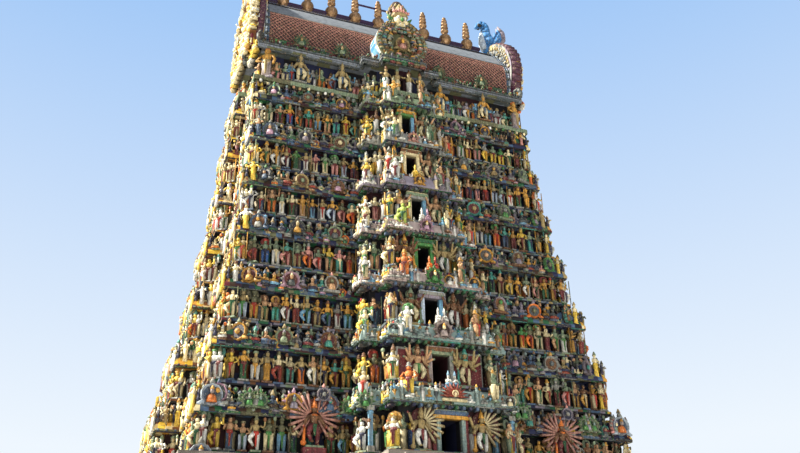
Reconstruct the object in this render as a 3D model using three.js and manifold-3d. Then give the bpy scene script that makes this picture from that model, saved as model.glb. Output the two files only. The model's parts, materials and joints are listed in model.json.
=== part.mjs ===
/**
 * Gopuram, the gateway tower of a South Indian temple, as a scale model at half real size.
 *
 * Millimetres, +Z up, the gateway running along Y, the long face across X.
 * A granite ground storey carries seven storeys of brick and stucco, a top pavilion,
 * a barrel roof with a horseshoe gable at each end and nine finials on its crown.
 * Every size below is the real tower's, in metres; METRE turns it into the model's millimetres.
 */
import * as THREE from 'three';
import { mergeVertices } from 'three/addons/utils/BufferGeometryUtils.js';
import Module from 'manifold-3d';

const wasm = await Module();
wasm.setup();

const METRE = 500;
const GAP = 0.0008;

const FINISH = {
    granite: { color: 0x8d8377, roughness: 0.9, metalness: 0 },
    ledge: { color: 0x6f7f76, roughness: 0.75, metalness: 0 },
    wall: { color: 0x2a2430, roughness: 0.85, metalness: 0 },
    parapet: { color: 0x55806f, roughness: 0.7, metalness: 0 },
    tiles: { color: 0x9c4a3a, roughness: 0.7, metalness: 0 },
    gable: { color: 0x5c2634, roughness: 0.65, metalness: 0 },
    medallion: { color: 0x9a8148, roughness: 0.7, metalness: 0 },
    ridge: { color: 0x42213f, roughness: 0.6, metalness: 0 },
    kalasam: { color: 0x9b6d3f, roughness: 0.5, metalness: 0.6 },
    beast: { color: 0x2f6fb0, roughness: 0.55, metalness: 0 },
};

/** Storeys from the granite upward: the ledge's height and half sizes, and the reach of the bays. */
const STOREYS = [
    { key: 'a', sill: 10.83, halfWidth: 13.65, halfDepth: 8.6, bayHalf: 3.8, bayOut: 2.94, sideOut: 1.5 },
    { key: 'b', sill: 14.83, halfWidth: 12.95, halfDepth: 7.78, bayHalf: 3.4, bayOut: 2.75, sideOut: 1.4 },
    { key: 'c', sill: 18.73, halfWidth: 12.35, halfDepth: 7.0, bayHalf: 3.1, bayOut: 2.56, sideOut: 1.25 },
    { key: 'd', sill: 22.72, halfWidth: 11.85, halfDepth: 6.27, bayHalf: 2.75, bayOut: 2.37, sideOut: 1.15 },
    { key: 'e', sill: 26.63, halfWidth: 11.46, halfDepth: 5.6, bayHalf: 2.4, bayOut: 2.18, sideOut: 1.05 },
    { key: 'f', sill: 30.52, halfWidth: 11.2, halfDepth: 5.0, bayHalf: 2.1, bayOut: 1.99, sideOut: 0.95 },
    { key: 'g', sill: 34.31, halfWidth: 11.02, halfDepth: 4.5, bayHalf: 1.85, bayOut: 1.8, sideOut: 0.85 },
];
const PAVILION = {
    key: 'h', sill: 38.21, halfWidth: 10.85, halfDepth: 4.15, bayHalf: 1.75, bayOut: 1.55, sideOut: 0.6,
};

/** Widths of the storeys' doors, from the granite upward. */
const DOOR_WIDE = { a: 1.25, b: 1.1, c: 0.95, d: 0.85, e: 0.8, f: 0.75, g: 0.7 };

const DOOR_HIGH = 1.9;
const LEDGE_THICK = 0.25;
const PAVILION_LEDGE = 0.45;
const WALL_THICK = 0.9;
const WALL_INSET = 0.8;
const NECK_INSET = 0.35;
const CORNICE_FOOT = 2.0;
const CORNICE_HIGH = 0.5;
const BAY_CORNICE_FOOT = 2.6;
const BAY_CORNICE_HIGH = 0.85;
const SHRINE_PITCH = 2.35;
const SHRINE_HIGH = 0.95;
const LEAST_HALF = 0.4;

const BASE = {
    plinthHigh: 1.6,
    wallTop: 9.4,
    top: 10.58,
    halfWidth: 14.7,
    halfDepth: 9.8,
    bayHalf: 4.6,
    bayOut: 3.0,
    sideHalf: 4,
    sideOut: 1.6,
    gateHalf: 2.1,
    gateHigh: 7.2,
    chamberHalfDepth: 6.9,
    chamberOuter: 12.3,
};

const ROOF = { foot: 41.7, halfLength: 10.4, shell: 0.35, crown: 48.7 };
const GABLE = { half: 3.95, centre: 45.0, crown: 49.5, foot: 43.0, thick: 1.0, pedestalHalf: 3.2 };
const NICHE = { half: 2.8, centre: 44.9, crown: 47.9, foot: 43.5, depth: 0.6 };
const MEDALLION = { half: 2.05, centre: 43.4, crown: 45.65, foot: 41.45, face: 5.4, frame: 0.5 };
const FINIAL = { count: 9, pitch: 2.102 };
const ANIMAL = { at: 10.3, inner: 9.7, halfDepth: 0.4 };
const RAIL = { reach: ANIMAL.inner - GAP, halfDepth: 0.13, foot: 49.2, top: 49.45 };
const UPPER_RAIL = { reach: FINIAL.pitch, halfDepth: 0.06, foot: 51.05, top: 51.17 };

/** The staggered ground plan of a storey: a rectangle with two-step bays front and back, and side bays. */
class Plan {
    constructor(halfWidth, halfDepth, bayHalf, bayOut, wideHalf, wideOut, sideHalf, sideOut) {
        Object.assign(this, { halfWidth, halfDepth, bayHalf, bayOut, wideHalf, wideOut, sideHalf, sideOut });
    }

    /** The plan of one storey's ledge. */
    static ofStorey({ halfWidth, halfDepth, bayHalf, bayOut, sideOut }) {
        const wide = [bayHalf + 1.3, bayOut * 0.55];
        return new Plan(halfWidth, halfDepth, bayHalf, bayOut, ...wide, halfDepth * 0.4, sideOut);
    }

    /** The same plan with every face moved inward. */
    inset(depth) {
        return new Plan(
            this.halfWidth - depth,
            this.halfDepth - depth,
            this.bayHalf - depth,
            this.bayOut,
            this.wideHalf - depth,
            this.wideOut,
            this.sideHalf - depth,
            this.sideOut,
        );
    }

    /** The corners of the quarter with x and y above zero, from the long face round to the short one. */
    quarter() {
        const { halfWidth, halfDepth, bayHalf, bayOut, wideHalf, wideOut, sideHalf, sideOut } = this;
        const corners = [];
        if (bayHalf > LEAST_HALF) {
            corners.push([bayHalf, halfDepth + bayOut], [bayHalf, halfDepth + wideOut]);
        }
        corners.push([wideHalf, halfDepth + wideOut], [wideHalf, halfDepth], [halfWidth, halfDepth]);
        if (sideHalf > LEAST_HALF) {
            corners.push([halfWidth, sideHalf], [halfWidth + sideOut, sideHalf]);
        }
        return corners;
    }

    /** The whole outline, anticlockwise, in millimetres. */
    outline() {
        const quarter = this.quarter();
        const back = [...quarter].reverse();
        const corners = [
            ...back,
            ...quarter.map(([x, y]) => [-x, y]),
            ...back.map(([x, y]) => [-x, -y]),
            ...quarter.map(([x, y]) => [x, -y]),
        ];
        return corners.map(([x, y]) => new THREE.Vector2(x * METRE, y * METRE));
    }
}

/** Turns a closed geometry into a solid that can be cut and joined. */
function solid(geometry) {
    const bare = geometry.index ? geometry.toNonIndexed() : geometry.clone();
    bare.deleteAttribute('normal');
    bare.deleteAttribute('uv');
    const welded = mergeVertices(bare, 1e-3);
    return new wasm.Manifold(
        new wasm.Mesh({
            numProp: 3,
            vertProperties: new Float32Array(welded.attributes.position.array),
            triVerts: new Uint32Array(welded.index.array),
        }),
    );
}

/** Makes the named mesh of a finished solid. */
function mesh(name, body, finish) {
    const { vertProperties, triVerts } = body.getMesh();
    const geometry = new THREE.BufferGeometry();
    geometry.setAttribute('position', new THREE.BufferAttribute(new Float32Array(vertProperties), 3));
    geometry.setIndex(new THREE.BufferAttribute(new Uint32Array(triVerts), 1));
    geometry.computeVertexNormals();
    const part = new THREE.Mesh(geometry, new THREE.MeshStandardMaterial({ ...finish, flatShading: true }));
    part.name = name;
    return part;
}

/** A box between two corners given in real metres. */
function box(low, high) {
    const size = high.map((value, axis) => (value - low[axis]) * METRE);
    const centre = high.map((value, axis) => ((value + low[axis]) / 2) * METRE);
    return solid(new THREE.BoxGeometry(...size).translate(...centre));
}

/** A prism standing on a plan, from one height to another. */
function prism(plan, foot, top) {
    const shape = new THREE.Shape(plan.outline());
    const geometry = new THREE.ExtrudeGeometry(shape, { depth: (top - foot) * METRE, bevelEnabled: false });
    return solid(geometry.translate(0, 0, foot * METRE));
}

/** A rounded cornice that reaches the plan at its lip and draws in above it. */
function cornice(plan, foot, lip, high, drawIn) {
    const shape = new THREE.Shape(plan.outline());
    const geometry = new THREE.ExtrudeGeometry(shape, {
        depth: lip * METRE,
        bevelEnabled: true,
        bevelThickness: high * METRE,
        bevelSize: drawIn * METRE,
        bevelOffset: -drawIn * METRE,
        bevelSegments: 2,
    });
    return solid(geometry.translate(0, 0, foot * METRE)).trimByPlane([0, 0, 1], foot * METRE);
}

/** An outline in the Y-Z plane pushed along X, its points given in real metres. */
function alongX(points, from, to) {
    const shape = new THREE.Shape(points.map(([y, z]) => new THREE.Vector2(y * METRE, z * METRE)));
    const geometry = new THREE.ExtrudeGeometry(shape, { depth: (to - from) * METRE, bevelEnabled: false });
    geometry.rotateX(Math.PI / 2);
    geometry.rotateZ(Math.PI / 2);
    return solid(geometry.translate(from * METRE, 0, 0));
}

/** An outline in the X-Z plane pushed along Y, its points given in real metres. */
function alongY(points, from, to) {
    const shape = new THREE.Shape(points.map(([x, z]) => new THREE.Vector2(x * METRE, z * METRE)));
    const geometry = new THREE.ExtrudeGeometry(shape, { depth: (to - from) * METRE, bevelEnabled: false });
    geometry.rotateX(Math.PI / 2);
    return solid(geometry.translate(0, to * METRE, 0));
}

/** A rounded horseshoe with a pointed crown, as points round a centre height. */
function horseshoe({ half, centre, crown, foot }) {
    const points = [];
    const start = Math.asin((foot - centre) / half);
    const steps = 22;
    for (let step = 0; step <= steps; step += 1) {
        const angle = start + ((Math.PI - 2 * start) * step) / steps;
        const lift = Math.max(0, Math.sin(angle)) ** 6 * (crown - centre - half);
        points.push([Math.cos(angle) * half, centre + Math.sin(angle) * half + lift]);
    }
    return points;
}

/** Places of the miniature shrines along one stretch of a parapet. */
function shrinePlaces(from, to) {
    const count = Math.max(1, Math.round((to - from) / SHRINE_PITCH));
    const pitch = (to - from) / count;
    return Array.from({ length: count }, (_, index) => from + pitch * (index + 0.5));
}

/** The arched front of one miniature shrine. */
function shrineFront(at, half, foot, high) {
    return [
        [at - half, foot],
        [at + half, foot],
        [at + half, foot + high * 0.55],
        [at, foot + high],
        [at - half, foot + high * 0.55],
    ];
}

/** The granite ground storey, with the gateway running through it. */
function groundStorey() {
    const group = new THREE.Group();
    const { halfWidth, halfDepth, bayHalf, bayOut, sideHalf, sideOut, gateHalf, gateHigh } = BASE;
    const wide = [bayHalf + 1.6, bayOut * 0.55];
    const plan = new Plan(halfWidth, halfDepth, bayHalf, bayOut, ...wide, sideHalf, sideOut);
    const reach = 20;
    const gate = box([-gateHalf, -reach, -1], [gateHalf, reach, 20]);
    const rightHalf = box([gateHalf, -reach, -1], [reach, reach, 20]);
    const leftHalf = box([-reach, -reach, -1], [-gateHalf, reach, 20]);

    const plinth = prism(plan.inset(-1.75), 0, 0.35)
        .add(prism(plan.inset(-1.3), 0, 0.75))
        .add(cornice(plan.inset(-1.1), 0.75, 0.1, 0.35, 0.4))
        .add(prism(plan.inset(-0.55), 0.75, BASE.plinthHigh));
    const footing = plan.inset(-0.2);
    let walls = prism(footing, BASE.plinthHigh, 2.3)
        .add(prism(plan, 2.3, BASE.wallTop - 0.6))
        .add(prism(plan.inset(-0.15), BASE.wallTop - 0.6, BASE.wallTop));
    const chamberEnd = BASE.chamberOuter;
    walls = walls.subtract(
        box([-chamberEnd, -BASE.chamberHalfDepth, 0], [chamberEnd, BASE.chamberHalfDepth, 20]),
    );
    for (const [side, half] of [['left', leftHalf], ['right', rightHalf]]) {
        group.add(mesh(`plinth_${side}`, plinth.intersect(half), FINISH.granite));
        group.add(mesh(`base_wall_${side}`, walls.intersect(half), FINISH.granite));
    }
    const beam = walls.intersect(gate).intersect(box([-reach, -reach, gateHigh], [reach, reach, 20]));
    for (const [side, from, to] of [['front', -reach, 0], ['back', 0, reach]]) {
        const lintel = beam.intersect(box([-reach, from, 0], [reach, to, 20]));
        group.add(mesh(`gate_lintel_${side}`, lintel, FINISH.granite));
    }
    const hollow = prism(plan.inset(2.0), 0, 20);
    const crownRing = cornice(plan.inset(-0.75), BASE.wallTop, 0.25, 0.55, 0.6)
        .add(prism(plan.inset(0.35), BASE.wallTop, BASE.top))
        .subtract(hollow);
    group.add(mesh('base_cornice', crownRing, FINISH.granite));
    return group;
}

/** The hollow walls of one storey, in its own heights: a lower wall, a higher one in the bay, and a neck. */
function storeyWalls(plan, above, top) {
    const bayZone = box([-plan.wideHalf, -20, 0], [plan.wideHalf, 20, BAY_CORNICE_FOOT]);
    return prism(plan.inset(WALL_INSET), 0, CORNICE_FOOT)
        .add(prism(plan.inset(WALL_INSET), 0, BAY_CORNICE_FOOT).intersect(bayZone))
        .add(prism(above.inset(NECK_INSET), CORNICE_FOOT, top));
}

/** The parapet ring of one storey: cornices, a higher one round the bay, and the small arched shrines. */
function storeyParapet(plan, walls, top) {
    const { halfWidth, halfDepth, wideHalf, sideHalf, sideOut } = plan;
    const plain = new Plan(halfWidth, halfDepth, 0, 0, wideHalf, 0, sideHalf, sideOut);
    const bayLip = cornice(plan, BAY_CORNICE_FOOT, 0.15, BAY_CORNICE_HIGH, 0.6);
    let ring = cornice(plain, CORNICE_FOOT, 0.15, CORNICE_HIGH, 0.5);
    for (const [low, high] of [[-20, 1 - halfDepth], [halfDepth - 1, 20]]) {
        ring = ring.add(bayLip.intersect(box([-wideHalf, low, 0], [wideHalf, high, top])));
    }
    const foot = CORNICE_FOOT + 0.3;
    const reach = 1.3;
    for (const at of shrinePlaces(wideHalf + 0.15, halfWidth - 0.15)) {
        for (const side of [-1, 1]) {
            const front = shrineFront(side * at, 0.7, foot, SHRINE_HIGH);
            ring = ring.add(alongY(front, -halfDepth + 0.22, -halfDepth + reach));
            ring = ring.add(alongY(front, halfDepth - reach, halfDepth - 0.22));
        }
    }
    const sideRows = [
        [0.15, sideHalf - 0.15, halfWidth + sideOut],
        [sideHalf + 0.15, halfDepth - 0.15, halfWidth],
    ];
    for (const [from, to, face] of sideRows) {
        for (const at of shrinePlaces(from, to)) {
            for (const side of [-1, 1]) {
                const front = shrineFront(side * at, 0.7, foot, SHRINE_HIGH);
                ring = ring.add(alongX(front, -face + 0.22, -face + reach));
                ring = ring.add(alongX(front, face - reach, face - 0.22));
            }
        }
    }
    return ring.subtract(walls).subtract(prism(plan.inset(reach), -1, top + 1));
}

/** One stucco storey: its ledge and floor, its hollow walls, and the parapet of small shrines. */
function stuccoStorey(storey, next) {
    const group = new THREE.Group();
    group.position.z = storey.sill * METRE;
    const plan = Plan.ofStorey(storey);
    const above = Plan.ofStorey(next);
    const top = next.sill - storey.sill - (next === PAVILION ? PAVILION_LEDGE : LEDGE_THICK);
    const inside = plan.inset(WALL_INSET + WALL_THICK);
    inside.bayHalf = 0;
    const doorHalf = DOOR_WIDE[storey.key] / 2;
    const door = box([-doorHalf, -20, 0], [doorHalf, 20, DOOR_HIGH]);
    const walls = storeyWalls(plan, above, top);
    const hollow = walls.subtract(prism(inside, -1, top + 1)).subtract(door);

    group.add(mesh(`floor_${storey.key}`, prism(plan, -LEDGE_THICK, 0), FINISH.ledge));
    group.add(mesh(`walls_${storey.key}`, hollow, FINISH.wall));
    group.add(mesh(`parapet_${storey.key}`, storeyParapet(plan, walls, top), FINISH.parapet));
    return group;
}

/** The barrel roof's section from foot to crown, one half, outside face. */
const VAULT = [
    [3.35, 41.7],
    [3.46, 42.6],
    [3.52, 43.5],
    [3.42, 44.5],
    [3.05, 45.5],
    [2.45, 46.4],
    [1.75, 47.25],
    [1.05, 48.0],
    [0.42, ROOF.crown],
];

/** The section moved outward by a distance; a negative one moves it inward. */
function vaultSection(outward) {
    return VAULT.map(([y, z], index) => {
        const before = VAULT[Math.max(0, index - 1)];
        const after = VAULT[Math.min(VAULT.length - 1, index + 1)];
        const run = new THREE.Vector2(after[0] - before[0], after[1] - before[1]).normalize();
        return [y + run.y * outward, z - run.x * outward];
    });
}

/** The top pavilion with its eave, the barrel roof, gables, medallions and finials. */
function pavilionAndRoof() {
    const group = new THREE.Group();
    const plan = Plan.ofStorey(PAVILION);
    const { sill } = PAVILION;
    const eaveFoot = 41.0;
    group.add(mesh('floor_h', prism(plan, sill - PAVILION_LEDGE, sill), FINISH.ledge));

    const inside = new Plan(plan.halfWidth - 1.5, plan.halfDepth - 1.5, 0, 0, plan.wideHalf - 1.5, 0.5, 0, 0);
    let walls = prism(plan.inset(0.85), sill, eaveFoot).subtract(prism(inside, 0, 60));
    for (const at of [-0.62, 0, 0.62]) {
        walls = walls.subtract(box([at - 0.19, -20, sill], [at + 0.19, 20, sill + DOOR_HIGH]));
    }
    group.add(mesh('walls_h', walls, FINISH.wall));

    const hollow = new Plan(ROOF.halfLength - 0.5, 2.9, 0, 0, 3, 0, 0, 0);
    const { halfWidth, halfDepth, bayHalf, wideHalf, sideHalf, sideOut } = plan.inset(-0.05);
    const eavePlan = new Plan(halfWidth, halfDepth, bayHalf, 0.95, wideHalf, 0.5, sideHalf, sideOut);
    const eave = cornice(eavePlan, eaveFoot, 0.25, 0.45, 0.55).subtract(prism(hollow, 0, 60));
    group.add(mesh('eave_h', eave, FINISH.parapet));

    const outer = vaultSection(0);
    const inner = vaultSection(-ROOF.shell).map(([y, z]) => [Math.max(0.02, y), z]);
    inner[0][1] = ROOF.foot;
    const skin = [
        ...outer,
        ...[...outer].reverse().map(([y, z]) => [-y, z]),
        ...inner.map(([y, z]) => [-y, z]),
        ...[...inner].reverse(),
    ];
    group.add(mesh('roof_vault', alongX(skin, -ROOF.halfLength, ROOF.halfLength), FINISH.tiles));

    for (const [side, sign] of [['left', -1], ['right', 1]]) {
        const span = (near, far) => (sign < 0 ? [-far, -near] : [near, far]);
        const near = ROOF.halfLength;
        const far = near + GABLE.thick;
        const shell = alongX(horseshoe(GABLE), ...span(near, far));
        const niche = alongX(horseshoe(NICHE), ...span(far - NICHE.depth, far + 1));
        const [from, to] = span(near, far - 0.1);
        const half = GABLE.pedestalHalf;
        const pedestal = box([from, -half, ROOF.foot], [to, half, GABLE.foot + 0.05]);
        group.add(mesh(`gable_${side}`, shell.add(pedestal).subtract(niche), FINISH.gable));
    }

    const clear = vaultSection(GAP);
    const keepOut = alongX([...clear, ...[...clear].reverse().map(([y, z]) => [-y, z])], -12, 12);
    for (const [side, sign] of [['front', -1], ['back', 1]]) {
        const span = (near, far) => (sign < 0 ? [-far, -near] : [near, far]);
        const { half, centre, crown, foot, face, frame } = MEDALLION;
        const onEave = { half, centre, crown, foot: ROOF.foot + 0.02 };
        const hollow = { half: half - frame, centre, crown: crown - frame, foot: foot + frame };
        const drum = alongY(horseshoe(onEave), ...span(1.5, face));
        const plate = alongY(horseshoe(MEDALLION), ...span(face - 0.2, face));
        const dish = alongY(horseshoe(hollow), ...span(face - 0.25, face + 1));
        const crest = new THREE.SphereGeometry(0.8 * METRE, 10, 6).rotateX(Math.PI / 2);
        crest.scale(0.95, 0.8, 1.75).translate(0, sign * 4.4 * METRE, 46.8 * METRE);
        const whole = drum.add(plate).subtract(dish).add(solid(crest)).subtract(keepOut);
        group.add(mesh(`medallion_${side}`, whole, FINISH.medallion));
    }
    return group;
}

/** A finial's outline from foot to tip: a stem, a pot and rings that grow smaller, as radius and height. */
const FINIAL_OUTLINE = [
    [0, 0],
    [0.32, 0],
    [0.2, 0.35],
    [0.44, 0.8],
    [0.5, 1.15],
    [0.42, 1.4],
    [0.2, 1.62],
    [0.32, 1.78],
    [0.18, 1.96],
    [0.29, 2.12],
    [0.16, 2.3],
    [0.25, 2.46],
    [0.14, 2.62],
    [0.2, 2.76],
    [0.1, 2.9],
    [0, 3.35],
];

/** A finial standing on its foot, made wider by a clearance. */
function finialSolid(clearance) {
    const points = FINIAL_OUTLINE.map(([radius, z]) => {
        const wide = radius > 0 ? radius + clearance : 0;
        return new THREE.Vector2(wide * METRE, z * METRE);
    });
    return solid(new THREE.LatheGeometry(points, 10).rotateX(Math.PI / 2));
}

/** How far along the ridge a finial stands. */
function finialPlace(index) {
    return (index - (FINIAL.count - 1) / 2) * FINIAL.pitch * METRE;
}

/** One of the finials, standing on the vault's crown. */
function kalasam(index) {
    const part = mesh(`kalasam_${index + 1}`, finialSolid(0), FINISH.kalasam);
    part.position.set(finialPlace(index), 0, ROOF.crown * METRE);
    return part;
}

/** A bar that runs through the finials, in one length between each two of them. */
function railLengths(name, { reach, halfDepth, foot, top }) {
    let bar = box([-reach, -halfDepth, foot], [reach, halfDepth, top]);
    for (let index = 0; index < FINIAL.count; index += 1) {
        bar = bar.subtract(finialSolid(GAP).translate(finialPlace(index), 0, ROOF.crown * METRE));
    }
    const start = (length) => length.boundingBox().min[0];
    const lengths = bar.decompose().sort((one, other) => start(one) - start(other));
    return lengths.map((length, index) => mesh(`${name}_${index + 1}`, length, FINISH.ridge));
}

/** A ridge beast's side view, from its feet round by wing, neck and beak, as reach outward and height. */
const BEAST_OUTLINE = [
    [ANIMAL.inner - ANIMAL.at, 0],
    [0.07, 0],
    [0.07, 0.95],
    [1.35, 1.05],
    [1.75, 2.3],
    [1.4, 3.75],
    [1.1, 3.0],
    [0.85, 2.3],
    [0.75, 3.1],
    [0.35, 3.75],
    [-0.1, 3.85],
    [-0.6, 3.5],
    [-0.95, 2.85],
    [-0.55, 2.8],
    [-0.3, 3.1],
    [-0.1, 2.9],
    [-0.15, 2.0],
    [ANIMAL.inner - ANIMAL.at, 1.1],
];

/** The blue long-necked beast over each end of the ridge, its head turned inward. */
function ridgeBeast(side, sign) {
    const points = BEAST_OUTLINE.map(([x, z]) => [sign * x, z]);
    const ordered = sign < 0 ? points.reverse() : points;
    const part = mesh(`beast_${side}`, alongY(ordered, -ANIMAL.halfDepth, ANIMAL.halfDepth), FINISH.beast);
    part.position.set(sign * ANIMAL.at * METRE, 0, ROOF.crown * METRE);
    return part;
}

const gopuram = new THREE.Group();
gopuram.add(groundStorey());
STOREYS.forEach((storey, index) => gopuram.add(stuccoStorey(storey, STOREYS[index + 1] ?? PAVILION)));
gopuram.add(pavilionAndRoof());
for (let index = 0; index < FINIAL.count; index += 1) {
    gopuram.add(kalasam(index));
}
gopuram.add(...railLengths('ridge_rail', RAIL));
gopuram.add(...railLengths('upper_rail', UPPER_RAIL));
gopuram.add(ridgeBeast('left', -1), ridgeBeast('right', 1));

export default gopuram;
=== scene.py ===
"""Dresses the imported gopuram: painted stucco figures, small shrines, the roof's skin and carved granite.

Sizes in the classes are the real tower's, in metres; METRE turns them into the half-size model's metres.
The front looks towards -Y and the height runs along +Z, as in the frame.
"""

from __future__ import annotations

import json
import logging
import math
import random
from dataclasses import dataclass, field, replace
from enum import Enum
from typing import Callable, Sequence

import bmesh
import bpy
import numpy as np
from mathutils import Matrix, Vector

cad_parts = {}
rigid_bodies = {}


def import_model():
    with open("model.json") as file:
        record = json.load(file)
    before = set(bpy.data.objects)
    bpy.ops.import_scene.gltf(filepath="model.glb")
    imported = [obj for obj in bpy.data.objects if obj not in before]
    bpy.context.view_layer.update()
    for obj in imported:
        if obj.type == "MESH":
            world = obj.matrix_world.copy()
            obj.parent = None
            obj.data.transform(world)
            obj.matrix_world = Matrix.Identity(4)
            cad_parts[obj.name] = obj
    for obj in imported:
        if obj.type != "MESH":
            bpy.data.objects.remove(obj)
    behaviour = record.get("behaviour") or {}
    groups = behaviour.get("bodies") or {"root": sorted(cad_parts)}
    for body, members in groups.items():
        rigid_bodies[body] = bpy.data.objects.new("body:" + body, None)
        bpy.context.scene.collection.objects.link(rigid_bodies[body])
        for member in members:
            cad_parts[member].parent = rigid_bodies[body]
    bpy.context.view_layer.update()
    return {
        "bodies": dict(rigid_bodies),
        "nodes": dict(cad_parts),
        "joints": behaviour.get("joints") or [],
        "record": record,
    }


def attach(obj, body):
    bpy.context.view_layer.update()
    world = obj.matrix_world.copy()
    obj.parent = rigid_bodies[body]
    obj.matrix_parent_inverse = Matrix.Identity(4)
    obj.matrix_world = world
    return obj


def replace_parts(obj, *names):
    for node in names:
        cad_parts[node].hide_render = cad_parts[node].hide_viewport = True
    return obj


LOG = logging.getLogger("gopuram")
METRE = 0.5
CAST_SEED = 5
PAINT_SEED = 27


class Zone(Enum):
    """Which paint a face of a stucco shape takes."""

    SKIN = 0
    DRESS = 1
    SASH = 2
    GOLD = 3
    HAIR = 4
    STONE = 5
    SHELL = 6
    TRIM = 7
    DARK = 8


class Run(Enum):
    """The kinds of straight run that a storey's outline has."""

    WING = 0
    STEP = 1
    BAY = 2
    SIDE = 3
    SIDE_BAY = 4
    RETURN = 5


class Pigment(Enum):
    """The tower's paints, as screen colours from 0 to 255."""

    OCHRE = (214, 158, 62)
    YELLOW = (238, 200, 72)
    CREAM = (238, 222, 176)
    WHITE = (238, 238, 232)
    TAN = (206, 160, 118)
    PINK = (228, 158, 150)
    ORANGE = (228, 122, 42)
    RED = (188, 52, 40)
    MAROON = (112, 36, 46)
    BROWN = (122, 80, 50)
    GREEN = (70, 140, 72)
    FOREST = (34, 96, 62)
    TEAL = (64, 154, 142)
    SKY = (116, 172, 208)
    BLUE = (46, 98, 170)
    NAVY = (32, 38, 74)
    MAUVE = (192, 152, 178)
    GREY = (150, 152, 148)
    SAGE = (128, 148, 120)
    BLACK = (26, 24, 30)
    STONE = (150, 140, 124)
    LILAC = (142, 134, 150)
    BRICK = (150, 58, 44)
    ROSE = (206, 150, 138)
    PLUM = (78, 34, 62)
    AZURE = (52, 128, 196)
    VIOLET = (52, 26, 72)
    INK = (13, 13, 22)
    WINE = (52, 16, 26)
    UMBER = (64, 42, 28)
    OLIVE = (104, 106, 76)
    SLATE = (84, 94, 98)
    KHAKI = (172, 150, 100)
    DENIM = (72, 98, 130)
    AQUA = (130, 152, 150)
    BLUSH = (172, 156, 154)
    HAZE = (196, 214, 234)
    LIME = (186, 208, 96)
    CLARET = (58, 18, 22)
    DUSK = (122, 130, 142)

    @property
    def linear(self) -> tuple[float, float, float, float]:
        """The colour as Blender's scene-linear values.

        Returns:
            Red, green and blue, and an alpha of 1.
        """
        steps = [c / 255 for c in self.value]
        out = [s / 12.92 if s <= 0.04045 else ((s + 0.055) / 1.055) ** 2.4 for s in steps]
        return (*out, 1.0)


P = Pigment
Paints = dict[Zone, Pigment]
Palette = dict[Pigment, int]
Colour = tuple[float, float, float, float]


@dataclass(frozen=True)
class Storey:
    """One storey's ledge: its height and half sizes, and the reach of its bays."""

    key: str
    sill: float
    half_width: float
    half_depth: float
    bay_half: float
    bay_out: float
    side_out: float
    door_wide: float


STOREYS = (
    Storey("a", 10.83, 13.65, 8.6, 3.8, 2.94, 1.5, 1.25),
    Storey("b", 14.83, 12.95, 7.78, 3.4, 2.75, 1.4, 1.1),
    Storey("c", 18.73, 12.35, 7.0, 3.1, 2.56, 1.25, 0.95),
    Storey("d", 22.72, 11.85, 6.27, 2.75, 2.37, 1.15, 0.85),
    Storey("e", 26.63, 11.46, 5.6, 2.4, 2.18, 1.05, 0.8),
    Storey("f", 30.52, 11.2, 5.0, 2.1, 1.99, 0.95, 0.75),
    Storey("g", 34.31, 11.02, 4.5, 1.85, 1.8, 0.85, 0.7),
)
PAVILION = Storey("h", 38.21, 10.85, 4.15, 1.75, 1.55, 0.6, 0.38)
CORNICE_FOOT = 2.0
BAY_CORNICE_FOOT = 2.6
SHRINE_PITCH = 2.35
SHRINE_MARGIN = 0.3
LARGE_FIGURES = (-7.18, 8.45)
STEP_WIDER = 1.3
STEP_REACH = 0.55
SIDE_BAY_SHARE = 0.4
FRONT_AND_BACK = (0.0, math.pi)


@dataclass(frozen=True)
class Spot:
    """A place on a ledge: where, which way it faces and on what kind of run."""

    place: Vector
    facing: float
    run: Run
    width: float


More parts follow.
